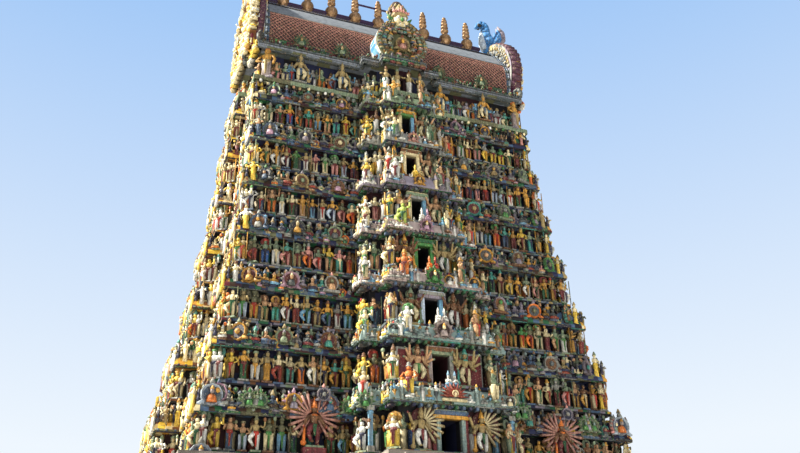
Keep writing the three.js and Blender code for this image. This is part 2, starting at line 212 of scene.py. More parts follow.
@dataclass(frozen=True)
class Plan:
    """A storey's staggered outline: a rectangle with a two-step bay front and back, and side bays."""

    half_width: float
    half_depth: float
    bay_half: float
    bay_out: float
    wide_half: float
    wide_out: float
    side_half: float
    side_out: float

    @classmethod
    def of_storey(cls, storey: Storey) -> Plan:
        """The outline of one storey's ledge.

        Args:
            storey: the storey.

        Returns:
            Its outline.
        """
        s = storey
        step = (s.bay_half + STEP_WIDER, s.bay_out * STEP_REACH)
        side = (s.half_depth * SIDE_BAY_SHARE, s.side_out)
        return cls(s.half_width, s.half_depth, s.bay_half, s.bay_out, *step, *side)

    def corners(self) -> list[Vector]:
        """The outline's corners.

        Returns:
            Each corner, anticlockwise from above.
        """
        quarter = [
            (self.bay_half, self.half_depth + self.bay_out),
            (self.bay_half, self.half_depth + self.wide_out),
            (self.wide_half, self.half_depth + self.wide_out),
            (self.wide_half, self.half_depth),
            (self.half_width, self.half_depth),
            (self.half_width, self.side_half),
            (self.half_width + self.side_out, self.side_half),
        ]
        back = quarter[::-1]
        ring = back + [(-x, y) for x, y in quarter] + [(-x, -y) for x, y in back]
        return [Vector(c) for c in ring + [(x, -y) for x, y in quarter]]

    def run_of(self, middle: Vector, outward: Vector) -> Run:
        """Names the kind of run that a stretch is.

        Args:
            middle: the middle of the stretch.
            outward: the direction that it faces.

        Returns:
            Its kind.
        """
        if abs(outward.y) > 0.5:
            reach = abs(middle.y) - self.half_depth
            if reach < 0.01:
                return Run.WING
            return Run.BAY if abs(reach - self.bay_out) < 0.01 else Run.STEP
        reach = abs(middle.x) - self.half_width
        if reach < -0.01:
            return Run.RETURN
        return Run.SIDE_BAY if reach > 0.01 else Run.SIDE

    def spots(self, inset: float, pitch: float, runs: Sequence[Run], margin: float = 0.1) -> list[Spot]:
        """Even places along the outline.

        Args:
            inset: how far inside the ledge's edge the places lie.
            pitch: the wanted distance between places.
            runs: the kinds of run that get places.
            margin: what is left free at each end of the inset line.

        Returns:
            The places, each with its facing and its share of the run.
        """
        ring = self.corners()
        found = []
        for index, start in enumerate(ring):
            end = ring[(index + 1) % len(ring)]
            ahead = (end - start).normalized()
            outward = Vector((ahead.y, -ahead.x))
            run = self.run_of((start + end) / 2, outward)
            if run not in runs:
                continue
            before = (start - ring[index - 1]).normalized()
            after = (ring[(index + 2) % len(ring)] - end).normalized()
            low = margin + inset * (before.x * ahead.y - before.y * ahead.x)
            high = (end - start).length - margin - inset * (ahead.x * after.y - ahead.y * after.x)
            if high - low < 0.05:
                continue
            count = max(1, round((high - low) / pitch))
            step = (high - low) / count
            for place in range(count):
                spot = start + ahead * (low + step * (place + 0.5)) - outward * inset
                found.append(Spot(spot, math.atan2(outward.x, -outward.y), run, step))
        return found

    def shrine_spots(self) -> list[Spot]:
        """The places of the parapet's miniature shrines, where the solids have them.

        Returns:
            A spot on the ledge's edge for each.
        """
        quarter = math.pi / 2
        side_face = self.half_width + self.side_out
        rows = (
            (self.wide_half, self.half_width, self.half_depth, 0.0),
            (0.0, self.side_half, side_face, quarter),
            (self.side_half, self.half_depth, self.half_width, quarter),
        )
        found = []
        for start, end, edge, facing in rows:
            length = end - start - SHRINE_MARGIN
            count = max(1, round(length / SHRINE_PITCH))
            step = length / count
            for index in range(count):
                along = start + SHRINE_MARGIN / 2 + step * (index + 0.5)
                for across, turn in ((along, 0), (-along, 0), (along, math.pi), (-along, math.pi)):
                    place = Matrix.Rotation(facing + turn, 2) @ Vector((across, -edge))
                    found.append(Spot(place, facing + turn, Run.WING, step))
        return found

    def outer_corners(self, inset: float) -> list[tuple[Vector, float]]:
        """The places just inside the outline's outer corners.

        Args:
            inset: how far inside both edges they lie.

        Returns:
            Each place with the facing that looks out over the corner.
        """
        ring = self.corners()
        found = []
        for before, corner, after in zip(ring[-1:] + ring[:-1], ring, ring[1:] + ring[:1]):
            into = (corner - before).normalized()
            out = (after - corner).normalized()
            if into.x * out.y - into.y * out.x < 0.5:
                continue
            outward = into - out
            found.append((corner - outward * inset, math.atan2(outward.x, -outward.y)))
        return found


def side_point(facing: float, across: float, forward: float, height: float) -> Vector:
    """A point by one of the tower's long sides.

    Args:
        facing: 0 for the front, half a turn for the back.
        across: how far to the right of the middle, seen from outside.
        forward: how far in front of the tower's middle.
        height: its height above the ground.

    Returns:
        The point, in real metres.
    """
    return Matrix.Rotation(facing, 4, "Z") @ Vector((across, -forward, height))


@dataclass(eq=False)
class Casting:
    """A finished stucco shape as plain arrays, ready to be copied many times."""

    # Painted shade over each shape: lightest at the front, darker towards the back and low down.
    FRONT_LIGHT = 1.22
    BACK_SHADE = 0.98
    LOW_SHADE = 0.14
    LEAST_LIGHT = 0.14

    coords: np.ndarray
    corners: np.ndarray
    sides: np.ndarray
    zones: np.ndarray
    smooth: np.ndarray
    even: bool = False

    def painted_shade(self) -> np.ndarray:
        """How light each face corner is: painted shade, darker towards the back of a shape and low down.

        Returns:
            A factor for the paint of each corner.
        """
        if self.even:
            return np.ones(len(self.corners))
        low, high = self.coords.min(axis=0), self.coords.max(axis=0)
        back, _, up = ((self.coords - low) / np.maximum(high - low, 0.01))[:, [1, 0, 2]].T
        shade = self.FRONT_LIGHT - self.BACK_SHADE * back ** 1.25 - self.LOW_SHADE * (1 - up)
        return np.maximum(shade, self.LEAST_LIGHT)[self.corners]

    def mirrored(self) -> Casting:
        """The same shape for a mirrored copy, whose faces would otherwise look inward.

        Returns:
            The shape with the corners of each face in the other order.
        """
        firsts = np.cumsum(self.sides) - self.sides
        order = np.repeat(2 * firsts + self.sides - 1, self.sides) - np.arange(len(self.corners))
        return replace(self, corners=self.corners[order])


class Clay:
    """A stucco shape in the making: bmesh operators, with a paint zone on every face."""

    LIMB_TIP = 0.004
    TURNED_TIP = 0.003

    def __init__(self) -> None:
        """Starts with an empty mesh."""
        self.mesh = bmesh.new()
        self.zone = self.mesh.faces.layers.int.new("zone")

    def paint(self, zone: Zone, smooth: bool) -> list[bmesh.types.BMFace]:
        """Paints the faces that have no paint yet.

        Args:
            zone: their paint.
            smooth: whether they are shaded round.

        Returns:
            The faces that were painted.
        """
        fresh = [face for face in self.mesh.faces if face[self.zone] == 0]
        for face in fresh:
            face[self.zone] = zone.value + 1
            face.smooth = smooth
        return fresh

    def limb(self, foot: Sequence[float], tip: Sequence[float], low: float, high: float, zone: Zone,
             sides: int = 5, squash: float = 1.0, smooth: bool = True) -> None:
        """Adds a tapering round bar between two points.

        Args:
            foot: the bar's start.
            tip: the bar's end.
            low: radius at the start.
            high: radius at the end.
            zone: its paint.
            sides: how many sides it has.
            squash: its depth over its width.
            smooth: whether it is shaded round.
        """
        start, end = Vector(foot), Vector(tip)
        axis = end - start
        turn = axis.to_track_quat("Z", "Y").to_matrix().to_4x4()
        place = Matrix.Translation((start + end) / 2) @ turn @ Matrix.Diagonal((1, squash, 1, 1))
        bmesh.ops.create_cone(self.mesh, cap_ends=True, segments=sides, radius1=low,
                              radius2=max(high, self.LIMB_TIP), depth=axis.length, matrix=place)
        self.paint(zone, smooth)

    def chain(self, joints: Sequence[Sequence[float]], thickness: Sequence[float], zone: Zone,
              sides: int = 5) -> None:
        """Adds bars that run through several points.

        Args:
            joints: the points.
            thickness: the radius at each point.
            zone: the paint.
            sides: how many sides the bars have.
        """
        for index in range(len(joints) - 1):
            self.limb(joints[index], joints[index + 1], thickness[index], thickness[index + 1], zone, sides)

    def turned(self, profile: Sequence[tuple[float, float]], zone: Zone, sides: int = 6, squash: float = 1.0,
               at: Sequence[float] = (0.0, 0.0, 0.0)) -> None:
        """Adds a closed shape turned about an upright axis.

        Args:
            profile: radius and height pairs, from the foot up.
            zone: its paint.
            sides: how many sides it has.
            squash: its depth over its width.
            at: where its axis and its zero height are.
        """
        centre = Vector(at)
        radius, level = profile[0]
        place = Matrix.Translation(centre + Vector((0, 0, level))) @ Matrix.Diagonal((1, squash, 1, 1))
        made = bmesh.ops.create_circle(self.mesh, cap_ends=True, segments=sides, radius=radius, matrix=place)
        rim = made["verts"]
        edges = list({edge for vert in rim for edge in vert.link_edges})
        for next_radius, next_level in profile[1:]:
            grown = bmesh.ops.extrude_edge_only(self.mesh, edges=edges)["geom"]
            rim = [part for part in grown if isinstance(part, bmesh.types.BMVert)]
            ends = set(rim)
            edges = [p for p in grown if isinstance(p, bmesh.types.BMEdge) and ends.issuperset(p.verts)]
            wanted = max(next_radius, self.TURNED_TIP)
            ratio = wanted / radius
            bmesh.ops.scale(self.mesh, vec=(ratio, ratio, 1), verts=rim, space=Matrix.Translation(-centre))
            bmesh.ops.translate(self.mesh, vec=(0, 0, next_level - level), verts=rim)
            radius, level = wanted, next_level
        bmesh.ops.contextual_create(self.mesh, geom=edges)
        self.paint(zone, True)

    def ball(self, centre: Sequence[float], size: Sequence[float], zone: Zone, sides: int = 6,
             rings: int = 4) -> None:
        """Adds an egg shape.

        Args:
            centre: its middle.
            size: its three half sizes.
            zone: its paint.
            sides: how many sides it has.
            rings: how many rings it has.
        """
        place = Matrix.Translation(centre) @ Matrix.Diagonal((*size, 1))
        bmesh.ops.create_uvsphere(self.mesh, u_segments=sides, v_segments=rings, radius=1, matrix=place)
        self.paint(zone, True)

    def block(self, centre: Sequence[float], size: Sequence[float], zone: Zone, bevel: float = 0.0) -> None:
        """Adds a block.

        Args:
            centre: its middle.
            size: its three sides.
            zone: its paint.
            bevel: how far its edges are rounded off.
        """
        place = Matrix.Translation(centre) @ Matrix.Diagonal((*size, 1))
        made = bmesh.ops.create_cube(self.mesh, size=1, matrix=place)
        if bevel:
            edges = list({edge for vert in made["verts"] for edge in vert.link_edges})
            bmesh.ops.bevel(self.mesh, geom=edges, offset=bevel, affect="EDGES", segments=1, profile=0.5,
                            material=-1)
        self.paint(zone, False)

    def disc(self, centre: Sequence[float], radius: float, thick: float, zone: Zone,
             inner: Zone | None = None, rim: float = 0.25, sides: int = 10, tall: float = 1.0) -> None:
        """Adds an upright disc that faces the front.

        Args:
            centre: its middle.
            radius: its half width.
            thick: its depth.
            zone: its paint.
            inner: the paint of its sunk middle, where it has one.
            rim: how wide the raised rim is, over the radius.
            sides: how many sides it has.
            tall: its height over its width.
        """
        turn = Matrix.Rotation(math.pi / 2, 4, "X")
        place = Matrix.Translation(centre) @ Matrix.Diagonal((1, 1, tall, 1)) @ turn
        bmesh.ops.create_cone(self.mesh, cap_ends=True, segments=sides, radius1=radius,
                              radius2=radius * 0.94, depth=thick, matrix=place)
        made = self.paint(zone, False)
        if inner is None:
            return
        ends = [face for face in made if len(face.verts) == sides]
        front = min(ends, key=lambda face: face.calc_center_median().y)
        bmesh.ops.inset_individual(self.mesh, faces=[front], thickness=radius * rim, depth=-thick * 0.4)
        self.paint(zone, False)
        front[self.zone] = inner.value + 1

    def cast(self, even: bool = False) -> Casting:
        """Ends the making and returns the shape as arrays.

        Args:
            even: whether the shape goes without the painted shade, as light all over.

        Returns:
            The finished shape.
        """
        bmesh.ops.recalc_face_normals(self.mesh, faces=list(self.mesh.faces))
        self.mesh.verts.index_update()
        faces = list(self.mesh.faces)
        casting = Casting(
            np.array([v.co[:] for v in self.mesh.verts], np.float64).reshape(-1, 3),
            np.array([v.index for f in faces for v in f.verts], np.int32),
            np.array([len(f.verts) for f in faces], np.int32),
            np.array([f[self.zone] - 1 for f in faces], np.int32),
            np.array([f.smooth for f in faces], bool),
            even,
        )
        self.mesh.free()
        return casting


class Gathering:
    """Many painted copies of castings, joined into one piece."""

    def __init__(self, name: str) -> None:
        """Starts an empty piece of that name."""
        self.name = name
        self.copies: list[tuple[Casting, Matrix, Paints, float]] = []

    def put(self, casting: Casting, spot: Sequence[float], facing: float, paints: Paints, scale: float = 1.0,
            stretch: Sequence[float] = (1.0, 1.0, 1.0), tint: float = 1.0) -> None:
        """Adds one copy.

        Args:
            casting: the shape.
            spot: where its foot stands, in real metres.
            facing: its turn about the upright, 0 towards the front.
            paints: the paint of each of its zones.
            scale: its size.
            stretch: its width, depth and height over that size.
            tint: how light its paints are.
        """
        place = Matrix.Translation(spot) @ Matrix.Rotation(facing, 4, "Z")
        sizes = Matrix.Diagonal([scale * share for share in stretch] + [1])
        self.copies.append((casting, place @ sizes, paints, tint))

    def build(self, material: bpy.types.Material, slot: str) -> bpy.types.Object:
        """Joins the copies into one mesh with their paint in a colour attribute.

        Args:
            material: the finish that reads the paint.
            slot: the record's material slot that it stands for; not used.

        Returns:
            The new object, riding on the tower's one body.
        """
        coords, corners, starts, colours, smooth = [], [], [], [], []
        verts = loops = 0
        for casting, place, paints, tint in self.copies:
            if place.determinant() < 0:
                casting = casting.mirrored()
            matrix = np.array(place)
            coords.append((casting.coords @ matrix[:3, :3].T + matrix[:3, 3]) * METRE)
            corners.append(casting.corners + verts)
            starts.append(np.concatenate(([0], np.cumsum(casting.sides)[:-1])) + loops)
            table = np.array([paints.get(zone, P.STONE).linear for zone in Zone], np.float32)
            # Each corner's paint times the copy's tint and its casting's painted shade.
            shade = np.ones((len(casting.corners), 4), np.float32)
            shade[:, :3] = (tint * casting.painted_shade())[:, None]
            colours.append(np.repeat(table[casting.zones], casting.sides, axis=0) * shade)
            smooth.append(casting.smooth)
            verts += len(casting.coords)
            loops += len(casting.corners)
        mesh = bpy.data.meshes.new(self.name)
        mesh.vertices.add(verts)
        mesh.loops.add(loops)
        mesh.polygons.add(sum(len(part) for part in starts))
        mesh.vertices.foreach_set("co", np.concatenate(coords).ravel())
        mesh.loops.foreach_set("vertex_index", np.concatenate(corners).astype(np.int32))
        mesh.polygons.foreach_set("loop_start", np.concatenate(starts).astype(np.int32))
        mesh.polygons.foreach_set("use_smooth", np.concatenate(smooth))
        mesh.update(calc_edges=True)
        layer = mesh.attributes.new("Paint", "FLOAT_COLOR", "CORNER")
        layer.data.foreach_set("color", np.concatenate(colours).ravel())
        mesh.validate()
        piece = bpy.data.objects.new(self.name, mesh)
        bpy.context.scene.collection.objects.link(piece)
        mesh.materials.append(material)
        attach(piece, "root")
        triangles = sum(int((casting.sides - 2).sum()) for casting, *_ in self.copies)
        LOG.info("%s: %d copies, %d triangles", self.name, len(self.copies), triangles)
        return piece


class Wire:
    """A shader socket that takes part in plain arithmetic."""

    def __init__(self, graph: Graph, socket: bpy.types.NodeSocket) -> None:
        """Wraps one output socket."""
        self.graph = graph
        self.socket = socket

    def maths(self, operation: str, *others: Wire | float) -> Wire:
        """Adds a Math node on this wire and others."""
        inputs = dict(enumerate((self, *others)))
        return self.graph.add("ShaderNodeMath", {"operation": operation}, inputs)

    def __add__(self, other: Wire | float) -> Wire:
        """This plus another."""
        return self.maths("ADD", other)

    def __mul__(self, other: Wire | float) -> Wire:
        """This times another."""
        return self.maths("MULTIPLY", other)

    def __sub__(self, other: Wire | float) -> Wire:
        """This minus another."""
        return self.maths("SUBTRACT", other)

    def __rsub__(self, other: float) -> Wire:
        """A number minus this."""
        return self.graph.add("ShaderNodeMath", {"operation": "SUBTRACT"}, {0: other, 1: self})

    def __truediv__(self, other: Wire | float) -> Wire:
        """This over another."""
        return self.maths("DIVIDE", other)

    def __gt__(self, other: float) -> Wire:
        """1 where this is more, else 0."""
        return self.maths("GREATER_THAN", other)

    def __lt__(self, other: float) -> Wire:
        """1 where this is less, else 0."""
        return self.maths("LESS_THAN", other)

    def __abs__(self) -> Wire:
        """The size of this without its sign."""
        return self.maths("ABSOLUTE")

    def span(self, low: float, high: float) -> Wire:
        """This drawn out from a range to 0 to 1 and kept inside it."""
        values = {"Value": self, "From Min": low, "From Max": high}
        return self.graph.add("ShaderNodeMapRange", {"clamp": True}, values)


class Graph:
    """A material's nodes round one Principled shader."""

    def __init__(self, name: str, roughness: float, metallic: float = 0.0) -> None:
        """Starts a material.

        Args:
            name: the material's name.
            roughness: the shader's roughness where nothing drives it.
            metallic: the shader's metalness.
        """
        self.material = bpy.data.materials.new(name)
        self.material.use_nodes = True
        self.tree = self.material.node_tree
        self.shader = self.tree.nodes["Principled BSDF"]
        self.shader.inputs["Roughness"].default_value = roughness
        self.shader.inputs["Metallic"].default_value = metallic

    def add(self, kind: str, settings: dict[str, object] | None = None,
            values: dict[int | str, object] | None = None, out: int | str = 0) -> Wire:
        """Adds a node.

        Args:
            kind: the node's type.
            settings: what is set on the node itself, and the stops of a ramp.
            values: a number, colour or wire for each of its sockets.
            out: the output socket that is wanted.

        Returns:
            That output as a wire.
        """
        node = self.tree.nodes.new(kind)
        for name, value in (settings or {}).items():
            if name == "stops":
                self.set_stops(node.color_ramp, value)
            else:
                setattr(node, name, value)
        for key, value in (values or {}).items():
            if isinstance(value, Wire):
                self.tree.links.new(value.socket, node.inputs[key])
            else:
                node.inputs[key].default_value = value
        return Wire(self, node.outputs[out])

    @staticmethod
    def set_stops(ramp: bpy.types.ColorRamp, stops: Sequence[tuple[float, Pigment]]) -> None:
        """Sets a ramp's stops.

        Args:
            ramp: the ramp.
            stops: place and paint of each, in order.
        """
        while len(ramp.elements) < len(stops):
            ramp.elements.new(1.0)
        for element, (place, pigment) in zip(ramp.elements, stops):
            element.position = place
            element.color = pigment.linear

    def place(self, scale: Sequence[float] = (1.0, 1.0, 1.0)) -> Wire:
        """Object coordinates, drawn out along each axis."""
        coords = self.add("ShaderNodeTexCoord", out="Object")
        return self.add("ShaderNodeMapping", {}, {"Vector": coords, "Scale": scale})

    def axis(self, index: int) -> Wire:
        """One of the three object coordinates, in real metres."""
        coords = self.add("ShaderNodeTexCoord", out="Object")
        return self.add("ShaderNodeSeparateXYZ", {}, {0: coords}, index) / METRE

    def noise(self, scale: float, detail: float = 3.0, stretch: Sequence[float] = (1.0, 1.0, 1.0)) -> Wire:
        """A cloudy value from 0 to 1."""
        values = {"Vector": self.place(stretch), "Scale": scale, "Detail": detail}
        return self.add("ShaderNodeTexNoise", {}, values)

    def mix(self, share: Wire | float, first: object, second: object, blend: str = "MIX") -> Wire:
        """Mixes two colours.

        Args:
            share: how much of the second colour shows.
            first: a paint, colour or wire.
            second: a paint, colour or wire.
            blend: how the second lies on the first.

        Returns:
            The mixed colour.
        """
        colours = [c.linear if isinstance(c, Pigment) else c for c in (first, second)]
        settings = {"data_type": "RGBA", "blend_type": blend}
        return self.add("ShaderNodeMix", settings, {0: share, 6: colours[0], 7: colours[1]}, 2)

    def panels(self, pick: Wire, paints: Sequence[Pigment]) -> Wire:
        """One of several paints, by a value from 0 to 1.

        Args:
            pick: the value.
            paints: the paints, each for an equal part of the range.

        Returns:
            The chosen paint.
        """
        stops = [(index / len(paints), paint) for index, paint in enumerate(paints)]
        colour = self.add("ShaderNodeValToRGB", {"stops": stops}, {0: pick})
        colour.socket.node.color_ramp.interpolation = "CONSTANT"
        return colour

    def grey(self, value: Wire) -> Wire:
        """A number as a grey colour."""
        return self.add("ShaderNodeCombineColor", {}, {0: value, 1: value, 2: value})

    def finish(self, colour: Wire, roughness: Wire | None = None, height: Wire | None = None,
               depth: float = 0.004) -> bpy.types.Material:
        """Links the shader.

        Args:
            colour: the base colour.
            roughness: the roughness where it changes over the surface.
            height: the height of the fine relief.
            depth: how deep that relief is, in metres.

        Returns:
            The finished material.
        """
        self.tree.links.new(colour.socket, self.shader.inputs["Base Color"])
        if roughness is not None:
            self.tree.links.new(roughness.socket, self.shader.inputs["Roughness"])
        if height is not None:
            bump = self.add("ShaderNodeBump", {}, {"Height": height, "Distance": depth, "Strength": 0.6})
            self.tree.links.new(bump.socket, self.shader.inputs["Normal"])
        return self.material


@dataclass(frozen=True)
class Stucco:
    """Painted lime stucco: brush-laid paint under dust, brown grime in streaks, dark stripes of painted
    shade, and pale flecks of bare plaster that are also painted highlights.
    """

    name: str
    roughness: float = 0.62
    grime: float = 0.5
    chips_and_highlights: float = 0.38
    dust: float = 0.1
    dust_colour: Colour = (0.075, 0.068, 0.05, 1)
    stripe_shade: float = 0.42

    def make(self) -> bpy.types.Material:
        """Builds the material.

        Returns:
            The material, which reads the pieces' Paint attribute.
        """
        graph = Graph(self.name, self.roughness)
        colour = graph.add("ShaderNodeAttribute", {"attribute_name": "Paint"}, out="Color")
        mottle = graph.noise(15.0, 5.0)
        colour = graph.mix(1.0, colour, graph.grey(mottle * 1.5 + 0.28), "MULTIPLY")
        colour = graph.mix(self.dust, colour, self.dust_colour)
        # Dark vertical stripes towards ink: painted shade of narrow folds and gaps.
        stripe_shade = graph.noise(21.0, 2.0, (1.0, 1.0, 0.1)).span(0.48, 0.6)
        colour = graph.mix(stripe_shade * self.stripe_shade, colour, P.INK.linear)
        streaks = graph.noise(7.0, 3.0, (1.0, 1.0, 0.16)).span(0.5, 0.72)
        patches = graph.noise(1.3, 2.0).span(0.4, 0.75)
        colour = graph.mix(streaks * patches * self.grime, colour, P.BROWN.linear)
        # Pale cream flecks, sunk a little: bare plaster showing through the paint, and painted highlights.
        worn_and_highlights = graph.noise(24.0, 2.0).span(0.6, 0.7)
        colour = graph.mix(worn_and_highlights * self.chips_and_highlights, colour, P.CREAM)
        rough = mottle * 0.3 + (self.roughness - 0.15)
        height = graph.noise(26.0, 4.0) + worn_and_highlights * -0.4
        return graph.finish(colour, rough, height, 0.006)


@dataclass(frozen=True)
class PaintedWall:
    """Smooth painted masonry whose paint changes from panel to panel."""

    name: str
    paints: tuple[Pigment, ...]
    panel: tuple[float, float, float] = (1.3, 1.3, 0.9)
    roughness: float = 0.7
    band: Pigment | None = None
    band_half: float = 0.0
    band_from: float = -1.0
    band_inner: float = -1.0
    shade_below: float | None = None
    crest: Pigment | None = None
    crest_foot: float = 0.0
    sunlit_ends_from: float | None = None

    def make(self) -> bpy.types.Material:
        """Builds the material.

        Returns:
            The material, which reads object coordinates.
        """
        graph = Graph(self.name, self.roughness)
        cells = graph.add("ShaderNodeTexVoronoi", {"feature": "F1", "distance": "CHEBYCHEV"},
                          {"Vector": graph.place([1 / (METRE * side) for side in self.panel]), "Scale": 1.0,
                           "Randomness": 0.35}, "Color")
        pick = graph.add("ShaderNodeSeparateColor", {}, {0: cells}, 0)
        colour = graph.panels(pick, self.paints)
        # Past this distance across the tower, the pale paints of its ends: painted sunlight, at both ends.
        if self.sunlit_ends_from is not None:
            pale = graph.panels(pick, (P.OCHRE, P.CREAM, P.KHAKI, P.MAROON, P.YELLOW, P.BROWN))
            colour = graph.mix(abs(graph.axis(0)) > self.sunlit_ends_from, colour, pale)
        if self.band is not None:
            across = abs(graph.axis(0))
            inside = (across < self.band_half) * (across > self.band_inner)
            colour = graph.mix(inside * (abs(graph.axis(1)) > self.band_from), colour, self.band)
        if self.crest is not None:
            colour = graph.mix(graph.axis(2) > self.crest_foot, colour, self.crest)
        if self.shade_below is not None:
            colour = graph.mix(graph.axis(2) < self.shade_below, colour, P.INK)
        mottle = graph.noise(6.0, 5.0)
        colour = graph.mix(1.0, colour, graph.grey(mottle * 0.8 + 0.6), "MULTIPLY")
        streaks = graph.noise(8.0, 3.0, (1.0, 1.0, 0.12)).span(0.5, 0.75)
        colour = graph.mix(streaks * 0.45, colour, P.BLACK)
        height = graph.noise(30.0, 4.0)
        return graph.finish(colour, mottle * 0.3 + (self.roughness - 0.15), height, 0.005)


@dataclass(frozen=True)
class Granite:
    """Coursed grey-brown granite with speckles, joints and rain stains."""

    name: str
    course: float = 0.62
    length: float = 1.7
    dark: Colour = (0.20, 0.175, 0.15, 1)
    light: Colour = (0.36, 0.325, 0.285, 1)
    black_grain: Colour = (0.07, 0.065, 0.06, 1)
    white_grain: Colour = (0.62, 0.58, 0.54, 1)
    stain: Colour = (0.075, 0.065, 0.055, 1)
    mortar: Colour = (0.05, 0.045, 0.04, 1)

    def make(self) -> bpy.types.Material:
        """Builds the material.

        Returns:
            The material, which reads object coordinates.
        """
        graph = Graph(self.name, 0.8)
        cloud = graph.noise(1.1, 5.0)
        colour = graph.mix(cloud.span(0.35, 0.65), self.dark, self.light)
        speck = graph.noise(150.0, 2.0)
        colour = graph.mix(speck.span(0.56, 0.66) * 0.6, colour, self.black_grain)
        colour = graph.mix(speck.span(0.42, 0.34) * 0.5, colour, self.white_grain)
        level = graph.axis(2) / self.course
        course = level.maths("FLOOR")
        bed = abs(level - course - 0.5).span(0.48, 0.497)
        along = (graph.axis(0) + graph.axis(1)) / self.length + course * 0.37
        upright = abs(along - along.maths("FLOOR") - 0.5).span(0.492, 0.498)
        joint = bed.maths("MAXIMUM", upright)
        stains = graph.noise(2.4, 3.0, (1.0, 1.0, 0.1)).span(0.48, 0.72)
        colour = graph.mix(stains * 0.55, colour, self.stain)
        colour = graph.mix(joint * 0.7, colour, self.mortar)
        height = graph.noise(45.0, 4.0) * 0.5 - joint
        return graph.finish(colour, 0.95 - cloud * 0.3, height, 0.008)


@dataclass(frozen=True)
class GiltCopper:
    """The finials' weathered gilt: warm metal under a brown film."""

    name: str
    metal: Colour = (0.43, 0.26, 0.13, 1)
    film: Colour = (0.2, 0.115, 0.06, 1)
    highlight_streak: Colour = (0.66, 0.46, 0.34, 1)

    def make(self) -> bpy.types.Material:
        """Builds the material.

        Returns:
            The material, which reads object coordinates.
        """
        graph = Graph(self.name, 0.42, 0.75)
        cloud = graph.noise(5.0, 4.0)
        colour = graph.mix(cloud.span(0.35, 0.7), self.metal, self.film)
        # Pale vertical streaks: painted highlights on the metal.
        drips = graph.noise(12.0, 2.0, (1.0, 1.0, 0.15)).span(0.5, 0.7)
        colour = graph.mix(drips * 0.5, colour, self.highlight_streak)
        return graph.finish(colour, cloud * 0.35 + 0.25, graph.noise(40.0, 3.0), 0.003)


class Dress(Enum):
    """What a figure wears below the waist."""

    LEGS = 0
    SKIRT = 1
    DANCE = 2


class Crown(Enum):
    """What a figure wears on its head."""

    TALL = 0
    STACKED = 1
    BUN = 2
    TURBAN = 3


class Arm(Enum):
    """How a figure holds an arm."""

    DOWN = 0
    HIP = 1
    RAISED = 2
    PRAYER = 3
    STAFF = 4
    BLESSING = 5


ARM_WAYS = {
    Arm.DOWN: ((0.25, 0.0, 0.9), (0.22, -0.06, 0.68)),
    Arm.HIP: ((0.35, 0.02, 0.93), (0.17, -0.08, 0.82)),
    Arm.RAISED: ((0.34, -0.06, 1.04), (0.36, -0.12, 1.3)),
    Arm.PRAYER: ((0.23, -0.1, 0.93), (0.03, -0.22, 1.08)),
    Arm.STAFF: ((0.3, -0.06, 0.95), (0.33, -0.17, 1.04)),
    Arm.BLESSING: ((0.27, -0.07, 0.9), (0.25, -0.21, 1.07)),
}


